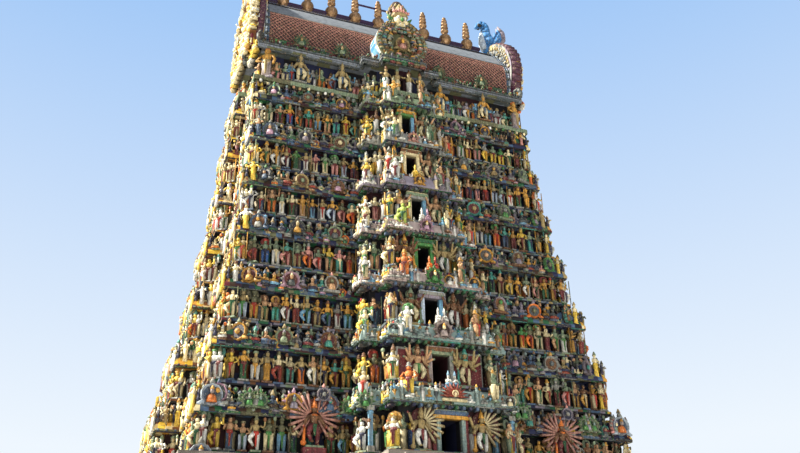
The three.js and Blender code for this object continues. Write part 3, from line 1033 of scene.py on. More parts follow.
@dataclass(frozen=True)
class StandingFigure:
    """A stucco figure on a lotus slab, its feet at the origin; the face is a plain oval."""

    dress: Dress
    crown: Crown
    left: Arm
    right: Arm
    halo: bool
    hip: float = 0.8

    def lower(self, clay: Clay) -> None:
        """Adds the slab, the legs or skirt and the belt.

        Args:
            clay: the shape in the making.
        """
        clay.block((0, 0, 0.04), (0.48, 0.32, 0.08), Zone.STONE)
        if self.dress is Dress.SKIRT:
            clay.turned([(0.18, 0.08), (0.15, 0.45), (0.19, self.hip)], Zone.DRESS, 6, 0.75)
        elif self.dress is Dress.LEGS:
            for side in (-1, 1):
                clay.limb((0.12 * side, -0.01, 0.08), (0.1 * side, 0, self.hip), 0.07, 0.13, Zone.DRESS, 4)
        else:
            clay.limb((0.09, -0.01, 0.08), (0.07, 0, self.hip), 0.07, 0.13, Zone.DRESS, 4)
            clay.chain([(-0.06, 0, self.hip), (-0.3, -0.14, 0.56), (-0.1, -0.08, 0.26)], (0.13, 0.1, 0.06),
                       Zone.DRESS, 4)
        clay.limb((0, -0.14, 0.2), (0, -0.14, self.hip), 0.03, 0.07, Zone.SASH, 3, smooth=False)
        clay.turned([(0.19, 0.74), (0.16, 0.88)], Zone.SASH, 5, 0.8)

    def upper(self, clay: Clay) -> None:
        """Adds the torso, the head and the crown.

        Args:
            clay: the shape in the making.
        """
        clay.turned([(0.12, 0.86), (0.19, 1.1), (0.06, 1.22)], Zone.SKIN, 6, 0.62)
        clay.ball((0, -0.01, 1.3), (0.1, 0.1, 0.12), Zone.SKIN, 6, 3)
        if self.crown is Crown.TALL:
            clay.turned([(0.11, 1.36), (0.11, 1.44), (0.02, 1.68)], Zone.GOLD, 5)
        elif self.crown is Crown.STACKED:
            clay.turned([(0.12, 1.36), (0.14, 1.4), (0.07, 1.48), (0.1, 1.52), (0.03, 1.6)], Zone.GOLD, 5)
        elif self.crown is Crown.BUN:
            clay.ball((0, 0.03, 1.38), (0.12, 0.12, 0.1), Zone.HAIR, 5, 3)
        else:
            clay.ball((0, 0, 1.41), (0.16, 0.14, 0.09), Zone.TRIM, 5, 3)
        if self.halo:
            clay.disc((0, 0.09, 1.34), 0.27, 0.03, Zone.TRIM, sides=8)

    def arm(self, clay: Clay, side: int, way: Arm) -> None:
        """Adds one arm and what it holds.

        Args:
            clay: the shape in the making.
            side: -1 for the left as seen, 1 for the right.
            way: how it is held.
        """
        elbow, hand = [(x * side, y, z) for x, y, z in ARM_WAYS[way]]
        clay.chain([(0.18 * side, 0, 1.13), elbow, hand], (0.065, 0.055, 0.045), Zone.SKIN, 3)
        if way is Arm.RAISED:
            clay.ball((hand[0], hand[1], hand[2] + 0.09), (0.09, 0.05, 0.11), Zone.TRIM, 4, 3)
        elif way is Arm.STAFF:
            clay.limb((hand[0], hand[1], 0.08), (hand[0], hand[1], 1.5), 0.03, 0.03, Zone.GOLD, 3)

    def cast(self) -> Casting:
        """The whole figure.

        Returns:
            The shape, about 1.65 m high.
        """
        clay = Clay()
        self.lower(clay)
        self.upper(clay)
        self.arm(clay, -1, self.left)
        self.arm(clay, 1, self.right)
        return clay.cast()

    def attendant(self) -> Casting:
        """A plainer figure of the same kind for the rows behind.

        Returns:
            The shape, about 1.6 m high.
        """
        clay = Clay()
        clay.turned([(0.2, 0), (0.15, 0.45), (0.19, 0.85), (0.1, 0.9)], Zone.DRESS, 4, 0.75)
        clay.turned([(0.12, 0.86), (0.2, 1.1), (0.06, 1.22), (0.11, 1.31), (0.08, 1.42)], Zone.SKIN, 5, 0.7)
        clay.turned([(0.12, 1.38), (0.03, 1.62)], Zone.GOLD, 4)
        for side, way in ((-1, self.left), (1, self.right)):
            elbow = [x * sign for x, sign in zip(ARM_WAYS[way][0], (side, 1, 1))]
            clay.limb((0.18 * side, 0, 1.13), elbow, 0.06, 0.05, Zone.SKIN, 3)
        return clay.cast()


@dataclass(frozen=True)
class Guardian:
    """A door guardian on a slab, larger than the rest, one leg raised over a club."""

    arms: int = 2
    height: float = 2.45
    fan: tuple[int, ...] = ()
    reach: float = 1.1
    arm_reach: float = 0.62
    arm_angles: tuple[int, ...] = (-62, 32, -14, 62)

    def body(self, clay: Clay) -> None:
        """Adds the legs, the torso, the head and the tiered crown.

        Args:
            clay: the shape in the making.
        """
        clay.block((0, 0, 0.05), (0.9, 0.5, 0.1), Zone.STONE, 0.02)
        clay.chain([(0.16, -0.03, 0.1), (0.17, -0.07, 0.55), (0.1, 0, 1.05)], (0.08, 0.12, 0.19),
                   Zone.DRESS, 7)
        clay.chain([(-0.1, 0, 1.05), (-0.33, -0.16, 0.7), (-0.16, -0.16, 0.3)], (0.19, 0.13, 0.08),
                   Zone.DRESS, 7)
        clay.limb((-0.16, -0.16, 0.3), (-0.1, -0.26, 0.27), 0.07, 0.05, Zone.SKIN)
        clay.limb((0.16, -0.05, 0.12), (0.2, -0.2, 0.12), 0.07, 0.05, Zone.SKIN)
        clay.turned([(0.2, 0.94), (0.25, 1.0), (0.23, 1.1), (0.19, 1.14)], Zone.SASH, 8, 0.75)
        clay.limb((0, -0.2, 0.55), (0, -0.19, 1.05), 0.04, 0.1, Zone.SASH, 4, smooth=False)
        clay.turned([(0.18, 1.1), (0.165, 1.24), (0.25, 1.48), (0.25, 1.56), (0.09, 1.66), (0.07, 1.72)],
                    Zone.SKIN, 8, 0.64)
        clay.turned([(0.14, 1.52), (0.2, 1.54), (0.12, 1.62)], Zone.GOLD, 8, 0.85, (0, -0.05, 0))
        for side in (-1, 1):
            clay.ball((0.1 * side, -0.1, 1.46), (0.1, 0.07, 0.08), Zone.SKIN, 6, 4)
            clay.ball((0.17 * side, 0, 1.76), (0.04, 0.05, 0.07), Zone.GOLD, 5, 3)
        clay.ball((0, -0.02, 1.84), (0.125, 0.13, 0.155), Zone.SKIN, 8, 6)
        clay.ball((0, -0.145, 1.83), (0.02, 0.03, 0.035), Zone.SKIN, 5, 3)
        clay.turned([(0.14, 1.92), (0.17, 1.96), (0.13, 2.02), (0.14, 2.08), (0.1, 2.13), (0.1, 2.2),
                     (0.06, 2.26), (0.05, 2.34), (0.02, self.height)], Zone.GOLD, 8)
        clay.disc((0, 0.12, 1.9), 0.3, 0.04, Zone.TRIM, Zone.SHELL, 0.3, 12)

    def bent_arm(self, clay: Clay, side: int, angle: float) -> None:
        """Adds one bent arm and what it holds.

        Args:
            clay: the shape in the making.
            side: -1 for the left as seen, 1 for the right.
            angle: how high the hand is, in radians from level.
        """
        start = Vector((0.24 * side, 0, 1.54))
        ahead = Vector((side * math.cos(angle), 0, math.sin(angle)))
        elbow = start + Vector((side * 0.26, -0.02, -0.26 + 0.2 * math.sin(angle)))
        hand = start + ahead * self.arm_reach + Vector((0, -0.2, 0.04))
        clay.chain([start, elbow, hand], (0.105, 0.09, 0.06), Zone.SKIN, 6)
        clay.turned([(0.07, -0.03), (0.085, 0), (0.07, 0.03)], Zone.GOLD, 6, 1.0, start.lerp(elbow, 0.6))
        clay.ball(hand + ahead * 0.06, (0.07, 0.05, 0.07), Zone.TRIM, 6, 4)

    def rays(self, clay: Clay) -> None:
        """Adds the fan of many striped arms behind the shoulders.

        Args:
            clay: the shape in the making.
        """
        clay.disc((0.3 * sum(self.fan), 0.14, 1.55), self.reach * 0.8, 0.05, Zone.TRIM, sides=14)
        for side in self.fan:
            for index in range(9):
                angle = math.radians(-58 + 17 * index)
                ahead = Vector((side * math.cos(angle), 0, math.sin(angle)))
                start = Vector((0.12 * side, 0.03, 1.52))
                clay.limb(start + ahead * 0.2, start + ahead * self.reach, 0.05, 0.085, Zone.SHELL, 5)
                clay.ball(start + ahead * (self.reach + 0.07), (0.09, 0.06, 0.09), Zone.SKIN, 5, 3)

    def cast(self) -> Casting:
        """The whole guardian.

        Returns:
            The shape, its crown's tip at the given height.
        """
        clay = Clay()
        self.body(clay)
        if self.fan:
            self.rays(clay)
        for side in (-1, 1):
            arms = 1 if side in self.fan else self.arms
            for angle in self.arm_angles[:arms]:
                self.bent_arm(clay, side, math.radians(angle))
        clay.limb((-0.55, -0.2, 0.12), (-0.5, -0.16, 0.95), 0.09, 0.05, Zone.GOLD, 7)
        clay.ball((-0.56, -0.2, 0.2), (0.15, 0.13, 0.14), Zone.GOLD, 7, 5)
        return clay.cast()


@dataclass(frozen=True)
class SmallShapes:
    """The small repeated shapes of the parapets: seated figures, lions, arches and shrines."""

    sitting_lower: float = 0.68

    def seated(self, crown: Crown, arms: Arm) -> Casting:
        """A figure that sits cross-legged on a cushion.

        Args:
            crown: what it wears.
            arms: how it holds both arms.

        Returns:
            The shape, about 0.9 m high.
        """
        clay = Clay()
        clay.turned([(0.33, 0), (0.28, 0.12)], Zone.STONE, 6, 0.7)
        clay.ball((0, -0.08, 0.19), (0.34, 0.2, 0.1), Zone.DRESS, 6, 3)
        clay.turned([(0.13, 0.18), (0.19, 0.43), (0.05, 0.53)], Zone.SKIN, 6, 0.65)
        clay.ball((0, -0.01, 0.61), (0.1, 0.1, 0.12), Zone.SKIN, 6, 3)
        top = 0.95 if crown is Crown.TALL else 0.84
        clay.turned([(0.12, 0.67), (0.12, 0.73), (0.02, top)], Zone.GOLD, 4)
        for side in (-1, 1):
            elbow, hand = [(x * side, y, z - self.sitting_lower) for x, y, z in ARM_WAYS[arms]]
            clay.chain([(0.17 * side, 0, 0.45), elbow, hand], (0.065, 0.055, 0.045), Zone.SKIN, 3)
        return clay.cast()

    def lion(self, turned_head: float) -> Casting:
        """A crouching lion with its mane and forelegs.

        Args:
            turned_head: how far the head stands to one side.

        Returns:
            The shape, about 0.55 m high.
        """
        clay = Clay()
        clay.ball((0, 0.12, 0.2), (0.15, 0.22, 0.18), Zone.DRESS, 5, 3)
        clay.ball((turned_head, -0.1, 0.38), (0.18, 0.07, 0.19), Zone.SASH, 6, 3)
        clay.ball((turned_head, -0.18, 0.37), (0.11, 0.09, 0.12), Zone.SKIN, 5, 3)
        for side in (-1, 1):
            clay.limb((0.12 * side, -0.16, 0), (0.1 * side, -0.04, 0.3), 0.06, 0.07, Zone.DRESS, 3)
        return clay.cast()

    def head(self) -> Casting:
        """A small round mask with ears and a tuft.

        Returns:
            The shape, about 0.45 m high.
        """
        clay = Clay()
        clay.ball((0, 0, 0.2), (0.16, 0.14, 0.19), Zone.SKIN, 6, 4)
        clay.ball((0, -0.13, 0.15), (0.07, 0.06, 0.05), Zone.TRIM, 4, 3)
        clay.limb((-0.22, 0.02, 0.24), (0.22, 0.02, 0.24), 0.07, 0.07, Zone.SASH, 3)
        clay.turned([(0.14, 0.32), (0.03, 0.5)], Zone.GOLD, 5)
        return clay.cast()

    def kudu(self, figure: bool, flames: bool) -> Casting:
        """A horseshoe arch with a sunk middle, and a figure or a bead in it.

        Args:
            figure: whether a small bust sits in it.
            flames: whether its rim has flames.

        Returns:
            The shape, 1 m wide.
        """
        clay = Clay()
        clay.disc((0, 0, 0.42), 0.46, 0.2, Zone.SHELL, Zone.DARK, 0.2, 10)
        clay.turned([(0.1, 0.84), (0.13, 0.92), (0.02, 1.12)], Zone.TRIM, 5, 0.7)
        for side in (-1, 1):
            clay.limb((0.3 * side, -0.02, 0.1), (0.55 * side, -0.02, 0.02), 0.12, 0.05, Zone.SHELL, 5)
        if flames:
            for index in range(7):
                angle = math.radians(index * 30)
                ahead = Vector((math.cos(angle), 0, math.sin(angle)))
                middle = Vector((0, -0.02, 0.42))
                clay.limb(middle + ahead * 0.42, middle + ahead * 0.6, 0.1, 0.01, Zone.TRIM, 4)
        if figure:
            clay.turned([(0.26, 0.1), (0.2, 0.34), (0.06, 0.46)], Zone.DRESS, 5, 0.6, (0, -0.06, 0))
            clay.ball((0, -0.12, 0.53), (0.11, 0.09, 0.12), Zone.SKIN, 5, 3)
            clay.turned([(0.11, 0.6), (0.02, 0.76)], Zone.GOLD, 4, 1.0, (0, -0.12, 0))
        else:
            clay.ball((0, -0.08, 0.42), (0.15, 0.1, 0.15), Zone.GOLD, 6, 4)
        return clay.cast()

    def leaf_fan(self) -> Casting:
        """A fan of pointed leaves round a small white arch.

        Returns:
            The shape, 1.7 m wide.
        """
        clay = Clay()
        clay.block((0, 0, 0.08), (1.5, 0.3, 0.16), Zone.TRIM, 0.04)
        for radius, size, count in ((0.6, 0.19, 11), (0.36, 0.15, 9)):
            for index in range(count):
                angle = math.pi * index / (count - 1)
                ahead = Vector((math.cos(angle) * 1.1, 0, math.sin(angle)))
                root = Vector((0, -0.25 * (0.7 - radius), 0.3)) + ahead * (radius - 0.3)
                clay.limb(root, root + ahead * 0.5, size, 0.02, Zone.SHELL, 5, 0.6)
        clay.disc((0, -0.16, 0.42), 0.2, 0.16, Zone.TRIM, Zone.DARK, 0.35, 10)
        clay.ball((0, -0.2, 0.38), (0.09, 0.07, 0.12), Zone.SKIN, 6, 4)
        return clay.cast()

    def arch(self) -> Casting:
        """A small horseshoe arch on a foot, filled by a bust.

        Returns:
            The shape, 1 m wide.
        """
        clay = Clay()
        clay.block((0, 0.02, 0.07), (0.95, 0.26, 0.14), Zone.STONE)
        clay.disc((0, 0, 0.54), 0.42, 0.22, Zone.SHELL, Zone.DARK, 0.17, 9, 1.15)
        clay.turned([(0.27, 0.14), (0.22, 0.42), (0.07, 0.54)], Zone.DRESS, 5, 0.6, (0, -0.04, 0))
        clay.ball((0, -0.1, 0.64), (0.13, 0.1, 0.14), Zone.SKIN, 5, 3)
        clay.limb((0, 0, 0.96), (0, 0, 1.2), 0.12, 0.02, Zone.TRIM, 4)
        return clay.cast()

    def eave(self) -> Casting:
        """One metre of rolled eave with leaf-shaped drips.

        Returns:
            The shape, along X, its front at Y zero.
        """
        clay = Clay()
        clay.limb((-0.485, 0.15, 0.2), (0.485, 0.15, 0.2), 0.16, 0.16, Zone.SHELL, 7)
        clay.block((0, 0.12, 0.03), (0.98, 0.2, 0.08), Zone.TRIM)
        clay.block((0, 0.24, 0.38), (0.96, 0.2, 0.1), Zone.STONE)
        for across in (-0.33, 0.0, 0.33):
            clay.limb((across, 0.06, 0.3), (across, -0.03, 0.05), 0.1, 0.02, Zone.GOLD, 4)
        return clay.cast()

    def pilaster(self) -> Casting:
        """A slim wall post with its base and bracket.

        Returns:
            The shape, 1.9 m high.
        """
        clay = Clay()
        clay.block((0, 0, 0.12), (0.28, 0.2, 0.24), Zone.TRIM)
        clay.block((0, 0, 0.9), (0.17, 0.14, 1.4), Zone.SHELL)
        clay.turned([(0.09, 1.5), (0.15, 1.58), (0.11, 1.66)], Zone.GOLD, 6)
        clay.block((0, 0, 1.76), (0.3, 0.2, 0.2), Zone.SASH)
        return clay.cast()

    def niche(self, width: float) -> Casting:
        """A niche with a small bust between two posts, under an eave and a barrel roof.

        Args:
            width: how wide it is.

        Returns:
            The shape, about 1.2 m high.
        """
        clay = Clay()
        half = width / 2
        clay.block((0, 0.05, 0.05), (width, 0.42, 0.1), Zone.STONE)
        clay.block((0, 0.16, 0.35), (width * 0.86, 0.16, 0.5), Zone.DARK)
        for side in (-1, 1):
            across = half * 0.82 * side
            clay.limb((across, 0, 0.1), (across, 0, 0.6), 0.07, 0.06, Zone.TRIM, 5)
        clay.turned([(0.12, 0.1), (0.1, 0.25), (0.04, 0.38)], Zone.DRESS, 5, 0.8)
        clay.ball((0, -0.02, 0.45), (0.075, 0.07, 0.09), Zone.SKIN, 5, 4)
        clay.block((0, 0.02, 0.64), (width * 1.04, 0.4, 0.1), Zone.SASH, 0.03)
        clay.limb((-half * 0.9, 0.1, 0.78), (half * 0.9, 0.1, 0.78), 0.26, 0.26, Zone.SHELL, 9)
        for index in range(3):
            at = (index - 1) * half * 0.6
            clay.turned([(0.04, 0.98), (0.07, 1.06), (0.015, 1.2)], Zone.GOLD, 5, 1.0, (at, 0.1, 0))
        clay.disc((0, -0.14, 0.86), 0.2, 0.1, Zone.TRIM, Zone.DARK, 0.35, 9)
        return clay.cast()

    def curl(self) -> Casting:
        """A scrolled creature that curls over itself.

        Returns:
            The shape, 1.1 m high.
        """
        clay = Clay()
        joints = [(-0.1, 0, 0), (0.3, 0, 0.2), (0.42, 0, 0.65), (0.2, 0, 1.0), (-0.12, 0, 0.9),
                  (-0.1, 0, 0.6), (0.08, 0, 0.6)]
        clay.chain(joints, (0.22, 0.2, 0.18, 0.16, 0.14, 0.11, 0.08), Zone.SHELL, 7)
        clay.ball((0.2, 0, 1.0), (0.2, 0.17, 0.17), Zone.SHELL, 7, 4)
        return clay.cast()

    def shield(self) -> Casting:
        """An upright oval disc with a raised rim.

        Returns:
            The shape, 0.9 m wide, its middle at the origin.
        """
        clay = Clay()
        clay.disc((0, 0, 0), 0.45, 0.14, Zone.SHELL, Zone.SHELL, 0.12, 18, 1.3)
        return clay.cast()

    def spike(self) -> Casting:
        """A small corner finial.

        Returns:
            The shape, 0.75 m high.
        """
        clay = Clay()
        clay.turned([(0.08, 0), (0.14, 0.16), (0.06, 0.3), (0.1, 0.42), (0.01, 0.8)], Zone.GOLD, 6)
        return clay.cast()

    def brick(self, bevel: float) -> Casting:
        """A unit block standing on the ground, for courses and jambs.

        Args:
            bevel: how far its edges are rounded off.

        Returns:
            The shape, 1 m each way.
        """
        clay = Clay()
        clay.block((0, 0, 0.5), (1, 1, 1), Zone.SHELL, bevel)
        return clay.cast()


SKINS = {P.KHAKI: 9, P.TAN: 5, P.OCHRE: 6, P.CREAM: 4, P.SAGE: 4, P.OLIVE: 4, P.YELLOW: 2, P.BROWN: 3,
         P.GREY: 3, P.GREEN: 1, P.TEAL: 1, P.PINK: 1}
DRESSES = {P.WHITE: 6, P.CREAM: 5, P.OCHRE: 5, P.ORANGE: 3, P.PINK: 2, P.YELLOW: 2, P.BLUE: 1, P.SKY: 3,
           P.HAZE: 2, P.TEAL: 2, P.BRICK: 3, P.FOREST: 2, P.MAROON: 3, P.TAN: 3, P.KHAKI: 3, P.DENIM: 1}
SASHES = {P.RED: 2, P.GREEN: 1, P.OCHRE: 2, P.MAROON: 4, P.CREAM: 1, P.FOREST: 4, P.NAVY: 3}
CROWNS = {P.OCHRE: 5, P.KHAKI: 4, P.BROWN: 5, P.SAGE: 3, P.OLIVE: 3, P.TEAL: 1, P.GREY: 2}
SLABS = {P.GREY: 4, P.SLATE: 3, P.SAGE: 3, P.DENIM: 2, P.BROWN: 2}
HALOS = {P.SAGE: 4, P.OCHRE: 2, P.OLIVE: 3, P.TEAL: 1, P.RED: 1, P.GREEN: 1, P.BROWN: 4, P.SLATE: 2}
EAVES = {P.TEAL: 1, P.SAGE: 1, P.UMBER: 3, P.GREY: 1, P.FOREST: 4, P.NAVY: 5, P.SLATE: 4, P.OLIVE: 3,
         P.DENIM: 2}
ROOFS = {P.MAUVE: 2, P.LILAC: 5, P.GREY: 4, P.SLATE: 4, P.DENIM: 3, P.TEAL: 2, P.SAGE: 4, P.PINK: 1,
         P.OCHRE: 4, P.BROWN: 2, P.GREEN: 2, P.FOREST: 2, P.TAN: 2, P.ORANGE: 1, P.KHAKI: 2}
MUTED = {P.SLATE: 4, P.GREY: 4, P.DENIM: 4, P.SAGE: 3, P.TAN: 3, P.LILAC: 3, P.CREAM: 1, P.OCHRE: 3,
         P.TEAL: 2, P.KHAKI: 5, P.OLIVE: 3}
SHADED = {P.NAVY: 5, P.DENIM: 4, P.SLATE: 3, P.FOREST: 3, P.MAROON: 2, P.SKY: 1, P.GREY: 1, P.BRICK: 2,
          P.UMBER: 2}
BEASTS = {P.WHITE: 2, P.GREY: 5, P.GREEN: 1, P.SKY: 1, P.SAGE: 5, P.CREAM: 2, P.TAN: 3, P.KHAKI: 3,
          P.AQUA: 2}
DEEP = {P.NAVY: 5, P.INK: 5, P.FOREST: 2, P.SLATE: 1, P.WINE: 1}
# Pale paints that stand for the sunlight on the tower's ends and by its corners: painted sunlight.
PAINTED_SUNLIGHT = {P.WHITE: 4, P.CREAM: 6, P.YELLOW: 4, P.ORANGE: 1}
WINGS = (Run.WING, Run.SIDE, Run.SIDE_BAY)
STEPS = (Run.STEP, Run.RETURN)
ENDS = (Run.SIDE, Run.SIDE_BAY)


class Painter:
    """Chooses paints and shapes, the same way on each run."""

    def __init__(self, seed: int) -> None:
        """Starts a sequence of choices."""
        self.dice = random.Random(seed)

    def pick(self, palette: Palette) -> Pigment:
        """One paint from a weighted palette."""
        return self.dice.choices(list(palette), weights=list(palette.values()))[0]

    def one(self, shapes: Sequence[Casting]) -> Casting:
        """One of several shapes."""
        return self.dice.choice(shapes)

    def between(self, low: float, high: float) -> float:
        """A number in a range."""
        return self.dice.uniform(low, high)

    def figure(self) -> Paints:
        """Paints for a figure.

        Returns:
            The paint of each zone.
        """
        return {Zone.SKIN: self.pick(SKINS), Zone.DRESS: self.pick(DRESSES), Zone.SASH: self.pick(SASHES),
                Zone.GOLD: self.pick(CROWNS), Zone.HAIR: P.BLACK, Zone.STONE: self.pick(SLABS),
                Zone.TRIM: self.pick(HALOS), Zone.SHELL: self.pick(HALOS), Zone.DARK: P.NAVY}

    def clad(self, palette: Palette) -> Paints:
        """Paints for a figure whose body and dress come from a palette of their own.

        Args:
            palette: what they are chosen from.

        Returns:
            The paint of each zone.
        """
        return self.figure() | {Zone.SKIN: self.pick(palette), Zone.DRESS: self.pick(palette)}

    def speckled(self, palette: Palette) -> Paints:
        """A paint for each zone from one palette."""
        return {zone: self.pick(palette) for zone in Zone}

    def muted(self) -> Paints:
        """Paints for a small figure on a parapet.

        Returns:
            The paint of each zone.
        """
        return self.figure() | {Zone.SKIN: self.pick(MUTED), Zone.DRESS: self.pick(SHADED),
                                Zone.STONE: self.pick(SHADED), Zone.GOLD: self.pick(MUTED)}

    def shrine(self) -> Paints:
        """Paints for a miniature shrine or arch.

        Returns:
            The paint of each zone.
        """
        hollows = (P.NAVY, P.MAROON, P.SLATE, P.BROWN)
        return {Zone.SHELL: self.pick(ROOFS), Zone.TRIM: self.pick(ROOFS), Zone.SASH: self.pick(EAVES),
                Zone.STONE: self.pick(SLABS), Zone.DARK: self.dice.choice(hollows),
                Zone.GOLD: self.pick(MUTED), Zone.SKIN: self.pick(SKINS), Zone.DRESS: self.pick(ROOFS)}

    def beast(self) -> Paints:
        """Paints for a lion or a mask.

        Returns:
            The paint of each zone.
        """
        return {Zone.SKIN: self.pick(BEASTS), Zone.DRESS: self.pick(BEASTS), Zone.SASH: self.pick(HALOS),
                Zone.TRIM: P.RED, Zone.GOLD: self.pick(CROWNS)}


class Workshop:
    """All the castings that the storeys share."""

    PEOPLE = 22
    HALO_SHARE = 0.5

    def __init__(self) -> None:
        """Casts every shape once."""
        dice = random.Random(CAST_SEED)
        small = SmallShapes()
        dresses = (Dress.LEGS, Dress.LEGS, Dress.SKIRT, Dress.DANCE)
        crowns, arms = tuple(Crown), tuple(Arm)
        people = [
            StandingFigure(dice.choice(dresses), dice.choice(crowns), dice.choice(arms), dice.choice(arms),
                           dice.random() < self.HALO_SHARE)
            for _ in range(self.PEOPLE)
        ]
        self.figures = [person.cast() for person in people]
        self.attendants = [person.attendant() for person in people]
        self.guardian = Guardian(2).cast()
        self.guardian_plain = Guardian(1).cast()
        self.guardian_four = Guardian(4).cast()
        self.guardian_fan = Guardian(2, fan=(1,)).cast()
        self.guardian_wheel = Guardian(2, fan=(-1, 1)).cast()
        self.keeper = StandingFigure(Dress.SKIRT, Crown.BUN, Arm.HIP, Arm.DOWN, False).cast()
        self.seated = [small.seated(crown, arm) for crown in (Crown.TALL, Crown.BUN)
                       for arm in (Arm.DOWN, Arm.PRAYER, Arm.RAISED)]
        self.lions = [small.lion(turned) for turned in (-0.06, 0.0, 0.06)]
        self.head = small.head()
        self.kudus = [small.kudu(True, False), small.kudu(False, False), small.kudu(True, True)]
        self.arch = small.arch()
        self.curl = small.curl()
        self.shield = small.shield()
        self.leaf_fan = small.leaf_fan()
        self.niche = small.niche(1.7)
        self.eave = small.eave()
        self.pilaster = small.pilaster()
        self.spike = small.spike()
        self.brick = small.brick(0.0)
        self.brick_soft = small.brick(0.06)


@dataclass(frozen=True)
class Row:
    """How the shapes of one row stand: how high above the ledge, how large and how light."""

    foot: float
    sizes: tuple[float, float]
    stretch: tuple[float, float, float] = (1.0, 1.0, 1.0)
    tints: tuple[float, float] = (0.72, 1.16)


FRONT_ROW = Row(0.0, (1.1, 1.3), (0.98, 1.0, 1.0), (0.7, 1.2))
# The rows behind the front row are painted darker, as painted shade.
BACK_ROW = Row(0.1, (1.05, 1.18), (1.2, 1.0, 1.0), (0.25, 0.65))
STEP_ROW = Row(0.0, (1.22, 1.42))
ARCH_ROW = Row(2.1, (0.6, 0.85))
END_ROW = Row(1.95, (0.85, 1.05), (1.3, 1.2, 1.0), (0.8, 1.2))
SEATED_ROW = Row(2.3, (1.05, 1.3), tints=(0.6, 1.15))
END_CROWD = Row(2.3, (0.85, 1.1), (1.3, 1.2, 1.0), (0.8, 1.2))
BACK_CROWD = Row(2.5, (0.7, 0.85), (1.2, 1.0, 1.0), (0.4, 1.0))
LION_ROW = Row(3.05, (0.95, 1.25))
MASK_ROW = Row(3.0, (0.7, 0.85), tints=(0.4, 0.9))
EAVE_RELIEF = Row(2.64, (0.62, 0.85), (1.2, 1.2, 1.0))
UPPER_RELIEF = Row(3.12, (0.7, 0.9))


